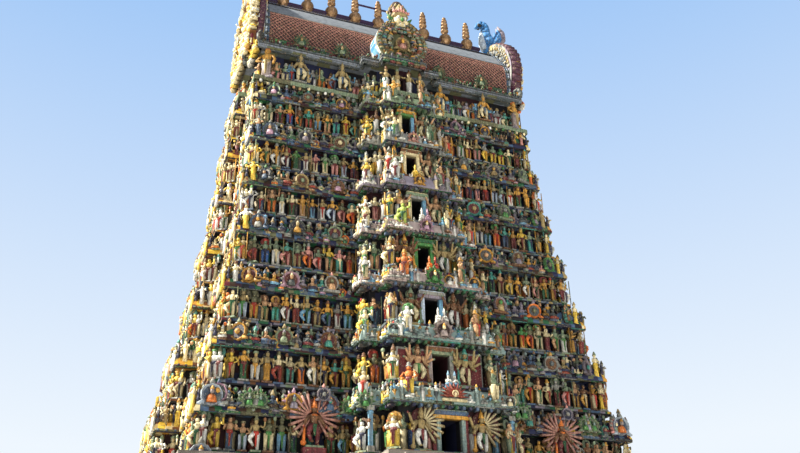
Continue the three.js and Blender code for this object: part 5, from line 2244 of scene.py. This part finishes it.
@dataclass
class Gable:
    """The horseshoe gable at each end: a beaded band, a scalloped rim and a face full of figures."""

    shop: Workshop
    painter: Painter
    vault: Roof
    inner_x: float = 10.4
    thick: float = 1.0
    half: float = 3.95
    centre: float = 45.0
    foot: float = 43.0
    crown_lift: float = 0.55
    face_rows: tuple[tuple[float, float, int], ...] = (
        (43.55, 2.3, 6), (44.4, 2.6, 7), (45.25, 2.5, 7), (46.1, 2.1, 5), (46.95, 1.2, 3))
    foot_rows: tuple[tuple[float, int], ...] = ((41.7, 9), (42.45, 8))

    def __post_init__(self) -> None:
        """Works out the angle at which the rim starts, below level."""
        self.low = math.asin((self.foot - self.centre) / self.half)

    def rim(self, angle: float, radius: float) -> tuple[float, float]:
        """A point of the horseshoe.

        Args:
            angle: from level, anticlockwise.
            radius: the half width that it lies on.

        Returns:
            Its place along Y and Z.
        """
        lift = max(0.0, math.sin(angle)) ** 6 * self.crown_lift * radius / self.half
        return math.cos(angle) * radius, self.centre + math.sin(angle) * radius + lift

    def round_rim(self, count: int, radius: float, start: float) -> list[tuple[float, float]]:
        """Evenly spread points of the horseshoe.

        Args:
            count: how many.
            radius: the half width that they lie on.
            start: the angle of its first end.

        Returns:
            Their places along Y and Z.
        """
        angles = [start + (math.pi - 2 * start) * (index + 0.5) / count for index in range(count)]
        return [self.rim(angle, radius) for angle in angles]

    def dress(self) -> Gathering:
        """All that is modelled on both gables.

        Returns:
            The piece's copies.
        """
        group = Gathering("gable_reliefs")
        painter, shop = self.painter, self.shop
        for side in (-1, 1):
            outer = side * (self.inner_x + self.thick)
            self.scallops(group, side)
            self.beads(group, side)
            facing = side * math.pi / 2
            for radius, count, scale in ((3.62, 26, 0.92), (3.05, 20, 0.9)):
                for y, z in self.round_rim(count, radius, self.low):
                    spot = (outer + side * painter.between(-0.08, 0.06), y, z - 0.42 * scale)
                    shape = painter.one(shop.seated)
                    group.put(shape, spot, facing, self.gilded(), scale, (1.2, 1, 1))
            for height, half, count in self.face_rows:
                for index in range(count):
                    y = (index + 0.5 - count / 2) * 2 * half / count
                    spot = (side * (self.inner_x + 0.7), y, height)
                    shape = painter.one(shop.seated)
                    group.put(shape, spot, facing, self.gilded(), 1.02, (1.25, 1.4, 1))
            for height, count in self.foot_rows:
                for index in range(count):
                    spot = (outer - side * 0.02, (index + 0.5 - count / 2) * 6.4 / count, height)
                    group.put(painter.one(shop.seated), spot, facing, self.gilded(), 0.95, (1.0, 1.2, 1))
            lobe, out = (0.95, 0.12) if side < 0 else (0.55, -0.4)
            for y, z in self.round_rim(26, self.half + out, self.low):
                shape = painter.one((shop.head, *shop.seated))
                spot = (outer - side * 0.12, y, z - 0.32 * lobe)
                group.put(shape, spot, 0.0 if y < 0 else math.pi, self.gilded(), lobe)
            self.inner_ring(group, side)
        return group

    def inner_ring(self, group: Gathering, side: int) -> None:
        """Adds the relief rings on the face that looks at the roof.

        Args:
            group: the piece that they join.
            side: -1 for the left gable, 1 for the right.
        """
        painter, shop = self.painter, self.shop
        cool = {P.HAZE: 3, P.GREY: 3, P.SLATE: 2, P.CREAM: 1, P.KHAKI: 2}
        rings = ((3.62, 0.0, 26, 0.5), (3.2, 0.2, 20, 0.65), (2.75, 0.75, 11, 0.65))
        for radius, start, count, scale in rings:
            for y, z in self.round_rim(count, radius, start):
                place = (side * (self.inner_x - 0.04), y, z - 0.24)
                paints = self.gilded() if radius > 3.5 else painter.speckled(cool)
                shape = painter.one((shop.head, *shop.seated[:2]))
                group.put(shape, place, -side * math.pi / 2, paints, scale, (1.2, 0.8, 1), 0.8)

    def gilded(self) -> Paints:
        """Paints of the gable's cream and yellow relief.

        Returns:
            The paint of each zone.
        """
        paints = self.painter.figure()
        for zone in (Zone.SKIN, Zone.DRESS, Zone.STONE):
            paints[zone] = self.painter.pick({P.CREAM: 8, P.YELLOW: 3, P.OCHRE: 1, P.WHITE: 6})
        paints[Zone.GOLD] = self.painter.pick({P.SAGE: 2, P.CREAM: 3})
        return paints

    def scallops(self, group: Gathering, side: int) -> None:
        """Adds the maroon scalloped rim.

        Args:
            group: the piece that it joins.
            side: -1 for the left gable, 1 for the right.
        """
        clay = Clay()
        count, radius, far = (60, 0.2, 0.55) if side < 0 else (26, 0.33, 0.96)
        for y, z in self.round_rim(count, self.half + 0.17 - radius, self.low):
            start = ((self.inner_x + 0.12) * side, y, z)
            clay.limb(start, ((self.inner_x + far) * side, y, z), radius, radius, Zone.SHELL, 7)
        group.put(clay.cast(True), (0, 0, 0), 0.0, {Zone.SHELL: P.PLUM})

    def beads(self, group: Gathering, side: int) -> None:
        """Adds the beaded bands over the roof's end and round the gable's inner face.

        Args:
            group: the piece that they join.
            side: -1 for the left gable, 1 for the right.
        """
        clay = Clay()
        for index, height in enumerate(np.arange(42.1, 48.6, 0.26)):
            depth, out_y, out_z = self.vault.surface(float(height))
            for flip in (-1, 1):
                y, z = flip * (depth + 0.06 * out_y), height + 0.06 * out_z
                for step, zone in enumerate((Zone.SASH, Zone.SHELL)):
                    paint = Zone.TRIM if index % 3 == 0 else zone
                    across = side * (self.inner_x - 0.3 + step * 0.17)
                    clay.ball((across, y, z), (0.1, 0.1, 0.13), paint, 5, 3)
        group.put(clay.cast(True), (0, 0, 0), 0.0, {
            Zone.SASH: P.DENIM, Zone.SHELL: P.HAZE, Zone.TRIM: P.SLATE})


@dataclass
class Medallion:
    """The great round relief in the middle of each long side, with a crowned mask on top."""

    shop: Workshop
    painter: Painter
    centre: float = 43.4
    face: float = 5.4
    rings: tuple[tuple[float, int, float], ...] = ((1.9, 30, 0.55), (1.5, 22, 0.62), (1.1, 12, 0.6))
    rows: tuple[tuple[float, int], ...] = ((42.0, 4), (42.75, 4), (43.6, 2), (44.3, 3))
    throne_foot: float = 42.55
    crest_half: float = 0.82
    crest_face: float = 4.4
    crest_centre: float = 46.65
    crest_rings: tuple[tuple[int, int], ...] = ((-25, 8), (8, 8), (40, 7), (72, 5))
    mask_place: tuple[float, float, float] = (-0.1, -5.2, 44.5)

    def dress(self) -> Gathering:
        """The rings of leaves, the throne, its figures and the mask, front and back.

        Returns:
            The piece's copies.
        """
        group = Gathering("medallion_reliefs")
        painter, shop = self.painter, self.shop
        earthy = {P.OCHRE: 3, P.KHAKI: 4, P.SAGE: 3, P.BROWN: 4, P.OLIVE: 4, P.ROSE: 2, P.TEAL: 1,
                  P.BRICK: 1}
        throne = {Zone.SHELL: P.KHAKI, Zone.TRIM: P.BRICK, Zone.DARK: P.BROWN, Zone.SKIN: P.OCHRE,
                  Zone.DRESS: P.ROSE, Zone.GOLD: P.OCHRE}
        for facing in FRONT_AND_BACK:
            for radius, count, scale in self.rings:
                for index in range(count):
                    angle = math.radians(-50 + 280 * (index + 0.5) / count)
                    across, up = math.cos(angle) * radius, self.centre + math.sin(angle) * radius
                    spot = side_point(facing, across, self.face, up - 0.25)
                    paints = painter.clad(earthy)
                    group.put(painter.one([shop.head, *shop.seated]), spot, facing, paints, scale)
            for row, (up, count) in enumerate(self.rows):
                for index in range(count):
                    across = (index + 0.5 - count / 2) * (0.6 if row != 2 else 1.9)
                    spot = side_point(facing, across, self.face - 0.12, up)
                    paints = painter.clad(earthy)
                    group.put(painter.one(shop.seated), spot, facing, paints, 0.85)
            spot = side_point(facing, 0, self.face + 0.02, self.throne_foot)
            group.put(shop.kudus[0], spot, facing, throne, 1.35)
            self.crest(group, facing)
            self.mask(group, facing)
        return group

    def crest(self, group: Gathering, facing: float) -> None:
        """Adds the rings of petals on the round crest.

        Args:
            group: the piece that they join.
            facing: which side of the tower.
        """
        petals = {P.BLUSH: 4, P.KHAKI: 4, P.SAGE: 2, P.CREAM: 3, P.ROSE: 2, P.GREEN: 1}
        for rise, count in self.crest_rings:
            out = self.crest_half * math.cos(math.radians(rise))
            height = self.crest_centre + self.crest_half * math.sin(math.radians(rise))
            for index in range(count):
                around = math.radians(-105 + 210 * (index + 0.5) / count)
                forward = self.crest_face + out * math.cos(around)
                spot = side_point(facing, out * math.sin(around), forward, height)
                group.put(self.shop.head, spot, facing + around, self.painter.speckled(petals), 0.72)

    def mask(self, group: Gathering, facing: float) -> None:
        """Adds the crowned lion mask on the rim.

        Args:
            group: the piece that it joins.
            facing: which side of the tower.
        """
        clay = Clay()
        clay.ball((0, 0, 0.7), (0.62, 0.45, 0.6), Zone.SKIN, 10, 8)
        for side in (-1, 1):
            clay.ball((0.25 * side, -0.4, 0.85), (0.15, 0.12, 0.15), Zone.TRIM, 8, 6)
            clay.ball((0.3 * side, -0.42, 0.5), (0.24, 0.14, 0.16), Zone.SKIN, 7, 5)
            clay.limb((0.6 * side, 0, 0.8), (1.0 * side, 0, 1.25), 0.2, 0.04, Zone.SASH, 6)
            clay.limb((0.16 * side, -0.46, 0.36), (0.2 * side, -0.54, 0.1), 0.06, 0.02, Zone.TRIM, 5)
        clay.ball((0, -0.5, 0.66), (0.14, 0.14, 0.14), Zone.SASH, 7, 5)
        clay.turned([(0.62, 1.05), (0.7, 1.2), (0.5, 1.4), (0.52, 1.55), (0.3, 1.8), (0.3, 1.95),
                     (0.05, 2.3)], Zone.GOLD, 10, 0.75)
        for index in range(7):
            across = (index - 3) * 0.2
            clay.turned([(0.09, 1.3), (0.12, 1.45), (0.02, 1.95 - abs(across))], Zone.DRESS, 5, 1.0,
                        (across, -0.32, 0))
        spot = Matrix.Rotation(facing, 4, "Z") @ Vector(self.mask_place)
        group.put(clay.cast(), spot, facing, {
            Zone.SKIN: P.CREAM, Zone.TRIM: P.WHITE, Zone.SASH: P.GREEN, Zone.GOLD: P.KHAKI,
            Zone.DRESS: P.PINK}, 1.12, (0.92, 1, 1.08))


@dataclass
class RidgeWork:
    """What stands on the ridge: the gilt finials and a blue long-necked beast at each end."""

    ridge: float = 48.7
    pitch: float = 2.102
    count: int = 9
    beast_x: float = 10.3
    pot: tuple[tuple[float, float], ...] = (
        (0.36, 0.0), (0.34, 0.1), (0.2, 0.22), (0.2, 0.3), (0.4, 0.44), (0.53, 0.68), (0.55, 0.9),
        (0.47, 1.12), (0.32, 1.3), (0.17, 1.44), (0.14, 1.62), (0.34, 1.68), (0.34, 1.8), (0.13, 1.86),
        (0.13, 2.02), (0.32, 2.08), (0.32, 2.19), (0.12, 2.25), (0.12, 2.4), (0.3, 2.46), (0.29, 2.56),
        (0.11, 2.62), (0.11, 2.76), (0.26, 2.82), (0.25, 2.91), (0.1, 2.97), (0.1, 3.05), (0.17, 3.12),
        (0.16, 3.22), (0.02, 3.38),
    )

    def finial(self, index: int) -> Gathering:
        """One finial.

        Args:
            index: its number from the left, from 0.

        Returns:
            The piece's copies.
        """
        group = Gathering(f"finial_{index + 1}")
        clay = Clay()
        clay.turned(self.pot, Zone.GOLD, 28)
        place = ((index - (self.count - 1) / 2) * self.pitch, 0, self.ridge)
        group.put(clay.cast(True), place, 0.0, {Zone.GOLD: P.OCHRE})
        return group

    def beast(self, side: int) -> Gathering:
        """The beast at one end of the ridge, its head turned inward.

        Args:
            side: -1 for the left end, 1 for the right.

        Returns:
            The piece's copies.
        """
        group = Gathering("ridge_beast_left" if side < 0 else "ridge_beast_right")
        clay = Clay()
        neck = [(0.55, 0, 1.4), (0.25, 0, 1.95), (0.1, 0, 2.5), (0.14, 0, 3.0), (0.06, 0, 3.45),
                (-0.25, 0, 3.6), (-0.58, 0, 3.4), (-0.9, 0, 2.98)]
        clay.chain(neck, (0.6, 0.56, 0.48, 0.42, 0.38, 0.34, 0.26, 0.1), Zone.SHELL, 10)
        for place, size in zip(neck[1:6], (0.56, 0.48, 0.42, 0.38, 0.34)):
            clay.ball(place, (size, size * 0.9, size), Zone.SHELL, 10, 6)
        clay.ball((0.75, 0, 1.35), (0.85, 0.5, 0.6), Zone.SHELL, 12, 8)
        clay.ball((0.35, 0, 0.65), (0.6, 0.42, 0.62), Zone.SHELL, 10, 6)
        breast = [(-0.12, 0, 0.7), (-0.3, 0, 1.4), (-0.3, 0, 2.1), (-0.22, 0, 2.75)]
        clay.chain(breast, (0.3, 0.34, 0.3, 0.16), Zone.SKIN, 8)
        for flip in (-1, 1):
            clay.ball((-0.52, 0.2 * flip, 3.3), (0.24, 0.1, 0.22), Zone.TRIM, 7, 5)
            clay.chain([(0.8, 0.3 * flip, 1.2), (1.15, 0.34 * flip, 1.9), (1.3, 0.3 * flip, 2.6),
                        (1.22, 0.24 * flip, 3.25)], (0.42, 0.4, 0.26, 0.05), Zone.SHELL, 8)
            clay.chain([(1.2, 0.2 * flip, 1.3), (1.62, 0.2 * flip, 2.2), (1.66, 0.18 * flip, 2.9),
                        (1.36, 0.14 * flip, 3.7)], (0.34, 0.42, 0.34, 0.06), Zone.GOLD, 7)
            clay.chain([(1.4, 0.4 * flip, 1.5), (1.66, 0.44 * flip, 2.3), (1.5, 0.32 * flip, 3.3)],
                       (0.1, 0.12, 0.04), Zone.STONE, 5)
            clay.ball((0.95, 0.4 * flip, 1.5), (0.5, 0.16, 0.42), Zone.SASH, 9, 6)
        group.put(clay.cast(True), (side * self.beast_x, 0, self.ridge), 0.0, {
            Zone.SHELL: P.AZURE, Zone.SKIN: P.HAZE, Zone.TRIM: P.INK, Zone.GOLD: P.LILAC,
            Zone.STONE: P.ROSE, Zone.SASH: P.SKY}, 1.0, (side, 1, 1))
        return group


@dataclass
class GraniteBase:
    """The carved ground storey: wall posts, niches, rolled courses and the gateway's frame."""

    shop: Workshop
    plan: Plan = field(default_factory=lambda: Plan(14.7, 9.8, 4.6, 3.0, 6.2, 1.65, 4.0, 1.6))
    wall_foot: float = 2.3
    wall_top: float = 8.8
    post_high: float = 1.9
    niche_foot: float = 3.4
    arch_foot: float = 9.5
    gate_foot: float = 1.6
    gate_half: float = 2.1
    gate_high: float = 7.2
    keeper_x: float = 3.75
    courses: tuple[tuple[float, float, float], ...] = (
        (0.78, 1.12, 1.0), (1.45, 0.5, 0.7), (9.15, 0.2, 0.8), (9.42, 0.62, 1.1))

    def dress(self) -> Gathering:
        """All that is carved on the ground storey.

        Returns:
            The piece's copies.
        """
        group = Gathering("granite_carving")
        shop, every = self.shop, tuple(Run)
        post = (1.6, 1.6, (self.wall_top - self.wall_foot) / self.post_high)
        for spot in self.plan.spots(-0.04, 2.6, every, 0.0):
            near_gate = spot.run is Run.BAY and abs(spot.place.x) < self.gate_half + 0.9
            for edge in (-0.42, 0.42):
                ahead = Vector((math.cos(spot.facing), math.sin(spot.facing)))
                place = spot.place + ahead * edge * spot.width
                if abs(place.x) > self.gate_half + 0.5 or abs(spot.place.y) < 8:
                    group.put(shop.pilaster, (*place, self.wall_foot), spot.facing, {}, 1.0, post)
            if not near_gate:
                group.put(shop.niche, (*spot.place, self.niche_foot), spot.facing, {}, 1.0, (0.62, 0.9, 2.6))
                group.put(shop.kudus[0], (*spot.place, self.arch_foot), spot.facing, {}, 0.8)
        for height, outset, scale in self.courses:
            for spot in self.plan.spots(-outset, 4.0, every, 0.0):
                if spot.run is Run.BAY and abs(spot.place.x) < self.gate_half + 0.6 and height < 2:
                    continue
                stretch = (spot.width / scale, 1, 1)
                group.put(shop.eave, (*spot.place, height), spot.facing, {}, scale, stretch)
        self.gateway(group)
        return group

    def gateway(self, group: Gathering) -> None:
        """Adds the gateway's jambs, lintel and the figures beside it, front and back.

        Args:
            group: the piece that they join.
        """
        face, brick = self.plan.half_depth + self.plan.bay_out, self.shop.brick_soft
        for facing in FRONT_AND_BACK:
            for side in (-1, 1):
                for step, wide in enumerate((0.24, 0.2, 0.3)):
                    across = self.gate_half + 0.13 + step * 0.25
                    spot = side_point(facing, side * across, face + 0.06 + step * 0.05, self.gate_foot)
                    high = self.gate_high - self.gate_foot
                    group.put(brick, spot, facing, {}, 1.0, (wide, 0.4, high))
                spot = side_point(facing, side * self.keeper_x, face + 0.3, 2.35)
                group.put(self.shop.guardian, spot, facing, {}, 1.55, (side, 1, 1))
            for step, height in enumerate((0.0, 0.42, 0.85)):
                spot = side_point(facing, 0, face + 0.08 + 0.06 * step, self.gate_high + height)
                group.put(brick, spot, facing, {}, 1.0, (5.4 + 0.4 * step, 0.44, 0.38))


@dataclass
class Setting:
    """The camera at the photograph's place, the light, and the plain pale floor and sky."""

    eye: tuple[float, float, float] = (-19.281, -52.631, 1.6)
    yaw: float = 21.641
    pitch: float = 26.789
    roll: float = -1.318
    focal_pixels: float = 830.0
    picture_wide: float = 800.0
    film_wide: float = 36.0
    farthest: float = 400.0
    to_sun: tuple[float, float, float] = (-0.75, 0.12, 0.65)
    sun_power: float = 11.6
    sky_power: float = 0.34
    to_soft: tuple[float, float, float] = (-0.1, -0.8, 0.6)
    soft_power: float = 0.61

    def camera(self) -> None:
        """Sets up the camera."""
        data = bpy.data.cameras.new("photograph")
        data.sensor_width = self.film_wide
        data.lens = self.focal_pixels / self.picture_wide * self.film_wide
        data.clip_end = self.farthest
        camera = bpy.data.objects.new("photograph", data)
        yaw, pitch, roll = (math.radians(a) for a in (self.yaw, self.pitch, self.roll))
        ahead = Vector((math.sin(yaw) * math.cos(pitch), math.cos(yaw) * math.cos(pitch), math.sin(pitch)))
        right = Vector((math.cos(yaw), -math.sin(yaw), 0))
        up = right.cross(ahead)
        rolled_right = right * math.cos(roll) + up * math.sin(roll)
        rolled_up = up * math.cos(roll) - right * math.sin(roll)
        turn = Matrix((rolled_right, rolled_up, -ahead)).transposed().to_4x4()
        camera.matrix_world = Matrix.Translation(Vector(self.eye) * METRE) @ turn
        bpy.context.scene.collection.objects.link(camera)
        bpy.context.scene.camera = camera

    def light(self) -> None:
        """Adds the sun and the pale sky."""
        for name, towards, power, spread, colour in (
                ("sun", self.to_sun, self.sun_power, 3, (1.0, 0.94, 0.80)),
                ("soft", self.to_soft, self.soft_power, 70, (1.0, 0.98, 0.94))):
            data = bpy.data.lights.new(name, "SUN")
            data.energy = power
            data.angle = math.radians(spread)
            data.color = colour
            lamp = bpy.data.objects.new(name, data)
            lamp.rotation_mode = "QUATERNION"
            lamp.rotation_quaternion = Vector(towards).to_track_quat("Z", "Y")
            bpy.context.scene.collection.objects.link(lamp)
        world = bpy.data.worlds.new("sky")
        world.use_nodes = True
        nodes, links = world.node_tree.nodes, world.node_tree.links
        fill = nodes["Background"]
        fill.inputs["Color"].default_value = (0.84, 0.91, 1.0, 1)
        fill.inputs["Strength"].default_value = self.sky_power
        shown = nodes.new("ShaderNodeBackground")
        coords = nodes.new("ShaderNodeTexCoord")
        split = nodes.new("ShaderNodeSeparateXYZ")
        ramp = nodes.new("ShaderNodeValToRGB")
        ramp.color_ramp.elements[0].position, ramp.color_ramp.elements[1].position = 0.2, 0.66
        ramp.color_ramp.elements[0].color = (0.86, 0.93, 1.0, 1)
        ramp.color_ramp.elements[1].color = (0.36, 0.58, 0.93, 1)
        path = nodes.new("ShaderNodeLightPath")
        either = nodes.new("ShaderNodeMixShader")
        links.new(coords.outputs["Generated"], split.inputs[0])
        links.new(split.outputs[2], ramp.inputs[0])
        links.new(ramp.outputs[0], shown.inputs[0])
        links.new(path.outputs["Is Camera Ray"], either.inputs[0])
        links.new(fill.outputs[0], either.inputs[1])
        links.new(shown.outputs[0], either.inputs[2])
        links.new(either.outputs[0], nodes["World Output"].inputs[0])
        bpy.context.scene.world = world
        bpy.context.scene.view_settings.view_transform = "Standard"

    def floor(self) -> None:
        """Lays the pale floor, which isn't part of the object."""
        mesh = bmesh.new()
        bmesh.ops.create_grid(mesh, x_segments=1, y_segments=1, size=90)
        data = bpy.data.meshes.new("floor")
        mesh.to_mesh(data)
        mesh.free()
        floor = bpy.data.objects.new("floor", data)
        bpy.context.scene.collection.objects.link(floor)
        graph = Graph("floor_plaster", 0.9)
        colour = graph.mix(graph.noise(0.5), (0.66, 0.65, 0.63, 1), (0.72, 0.71, 0.69, 1))
        data.materials.append(graph.finish(colour))


FRAMES = {
    "a": (P.AQUA, P.AQUA, P.OCHRE, P.DENIM),
    "b": (P.BLUSH, P.GREY, P.SAGE, P.BROWN),
    "c": (P.HAZE, P.SKY, P.LILAC, P.GREY),
    "d": (P.GREEN, P.GREEN, P.GREEN, P.FOREST),
    "e": (P.CREAM, P.SKY, P.GREY, P.SAGE),
    "f": (P.CREAM, P.CREAM, P.CREAM, P.BROWN),
    "g": (P.CREAM, P.SKY, P.GREEN, P.OCHRE),
}
CRESTS = {"a": P.BRICK, "b": P.BLUSH, "c": P.GREEN, "d": P.MAUVE, "e": P.OCHRE, "f": P.ROSE, "g": P.SAGE}
CREST_SIZES = {"a": 1.0, "b": 1.2, "c": 1.1, "d": 0.95}
BANDS = {"a": P.AQUA, "b": P.AQUA, "c": P.BLUSH, "d": P.BLUSH, "e": P.LILAC, "f": P.GREY, "g": P.SAGE}
PAIRS = {
    "a": (P.SKY, P.SKY),
    "b": (P.WHITE, P.WHITE),
    "c": (P.ORANGE, P.RED),
    "d": (P.WHITE, P.MAUVE),
    "e": (P.YELLOW, P.KHAKI),
}
STATUES = {
    "a": {P.YELLOW: 2, P.ORANGE: 1},
    "b": {P.WHITE: 1},
    "c": {P.ORANGE: 1, P.YELLOW: 1},
    "d": {P.LIME: 1},
    "e": {P.WHITE: 1},
    "f": {P.CREAM: 1, P.AQUA: 1},
    "g": {P.OCHRE: 1, P.SAGE: 1},
}


class Tower:
    """The whole dressed gopuram."""

    LEDGE_PANEL = (0.34, 0.34, 0.3)
    PARAPET_PANEL = (0.4, 0.4, 0.34)

    def __init__(self, nodes: dict[str, bpy.types.Object]) -> None:
        """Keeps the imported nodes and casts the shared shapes.

        Args:
            nodes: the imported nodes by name.
        """
        self.nodes = nodes
        self.shop = Workshop()
        self.painter = Painter(PAINT_SEED)
        self.stucco = Stucco("painted_stucco").make()
        self.granite = Granite("granite").make()
        self.gilt = GiltCopper("gilt_copper").make()

    def cover(self, prefix: str, material: bpy.types.Material) -> None:
        """Gives the nodes of one kind their finish.

        Args:
            prefix: what their names start with.
            material: the finish.
        """
        for name, node in self.nodes.items():
            if name.startswith(prefix):
                node.data.materials.clear()
                node.data.materials.append(material)

    def paint_nodes(self) -> None:
        """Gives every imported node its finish."""
        for prefix in ("plinth", "base_wall", "gate_lintel", "base_cornice"):
            self.cover(prefix, self.granite)
        for storey in (*STOREYS, PAVILION):
            tints = (P.SLATE, P.NAVY, P.DUSK, P.LILAC, P.DENIM, P.SAGE, P.BROWN, P.FOREST, P.KHAKI, P.NAVY)
            panel = self.LEDGE_PANEL
            if storey is PAVILION:
                tints, panel = (P.SAGE, P.GREY, P.OLIVE), (3, 3, 3)
            finish = PaintedWall(f"ledge_paint_{storey.key}", tints, panel, shade_below=storey.sill - 0.14,
                                 sunlit_ends_from=storey.half_width - 0.3)
            self.cover(f"floor_{storey.key}", finish.make())
        # Near-black walls behind the figures: their navy and maroon paint, darkened as painted shade between
        # the figures.
        dark = (P.INK, P.WINE, P.INK, P.NAVY, P.INK)
        self.cover("walls", PaintedWall("wall_paint_and_shade", dark, (1.4, 1.4, 2.0)).make())
        course = (P.FOREST, P.NAVY, P.WINE, P.SLATE, P.INK, P.UMBER, P.NAVY, P.DENIM, P.OLIVE)
        for storey in STOREYS:
            plan = Plan.of_storey(storey)
            finish = PaintedWall(f"parapet_paint_{storey.key}", course, self.PARAPET_PANEL,
                                 band=BANDS[storey.key], band_half=plan.wide_half + 0.02,
                                 band_from=plan.half_depth + 0.05, sunlit_ends_from=plan.half_width - 0.3)
            self.cover(f"parapet_{storey.key}", finish.make())
        self.cover("eave_h", PaintedWall("eave_paint", (P.SLATE, P.DUSK, P.OLIVE), (1, 1, 1)).make())
        vault = PaintedWall("vault_paint", (P.DUSK,), (4, 4, 4), crest=P.GREY, crest_foot=48.1)
        self.cover("roof_vault", vault.make())
        cool = (P.GREY, P.KHAKI, P.SLATE, P.GREY, P.LILAC)
        gable = PaintedWall("gable_paint", cool, (0.5, 0.5, 0.5), band=P.PLUM, band_half=10.95,
                            band_inner=10.46, sunlit_ends_from=10.9)
        self.cover("gable", gable.make())
        drum = (P.WHITE, P.SKY, P.WHITE, P.AZURE, P.GREY)
        medallion = PaintedWall("medallion_paint", drum, (0.9, 0.9, 0.9), band=P.OLIVE, band_half=3.0,
                                band_from=5.1, crest=P.UMBER, crest_foot=45.7)
        self.cover("medallion", medallion.make())
        for prefix in ("ridge_rail", "upper_rail"):
            self.cover(prefix, PaintedWall(f"{prefix}_paint", (P.VIOLET, P.VIOLET), (2, 2, 2)).make())
        self.cover("kalasam", self.gilt)
        self.cover("beast", PaintedWall("beast_paint", (P.AZURE,), (2, 2, 2)).make())

    def dress_storeys(self) -> None:
        """Builds the pieces of the seven stucco storeys."""
        levels = (*STOREYS, PAVILION)
        for storey, above in zip(levels, levels[1:]):
            dress = StoreyDress(storey, above, self.shop, self.painter)
            dress.figures().build(self.stucco, "wall")
            dress.eaves().build(self.stucco, "parapet")
            dress.crowd().build(self.stucco, "parapet")
            dress.bay(FRAMES[storey.key], CRESTS[storey.key], storey.key == "a").build(self.stucco, "wall")

    def dress_top(self) -> None:
        """Builds the pavilion's, the roof's and the ridge's pieces."""
        pavilion = PavilionDress(PAVILION, self.shop, self.painter)
        pavilion.figures().build(self.stucco, "wall")
        pavilion.eaves().build(self.stucco, "parapet")
        vault = Roof()
        vault.skin(self.painter, self.shop).build(self.stucco, "tiles")
        Gable(self.shop, self.painter, vault).dress().build(self.stucco, "gable")
        Medallion(self.shop, self.painter).dress().build(self.stucco, "medallion")
        ridge = RidgeWork()
        for index in range(ridge.count):
            piece = ridge.finial(index).build(self.gilt, "kalasam")
            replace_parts(piece, f"kalasam_{index + 1}")
        for side, name in ((-1, "beast_left"), (1, "beast_right")):
            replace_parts(ridge.beast(side).build(self.stucco, "beast"), name)


def main() -> None:
    """Builds the dressed tower."""
    logging.basicConfig(level=logging.INFO, format="%(message)s")
    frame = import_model()
    setting = Setting()
    setting.camera()
    setting.light()
    setting.floor()
    tower = Tower(frame["nodes"])
    tower.paint_nodes()
    GraniteBase(tower.shop).dress().build(tower.granite, "granite")
    tower.dress_storeys()
    tower.dress_top()


if __name__ == "__main__":
    main()
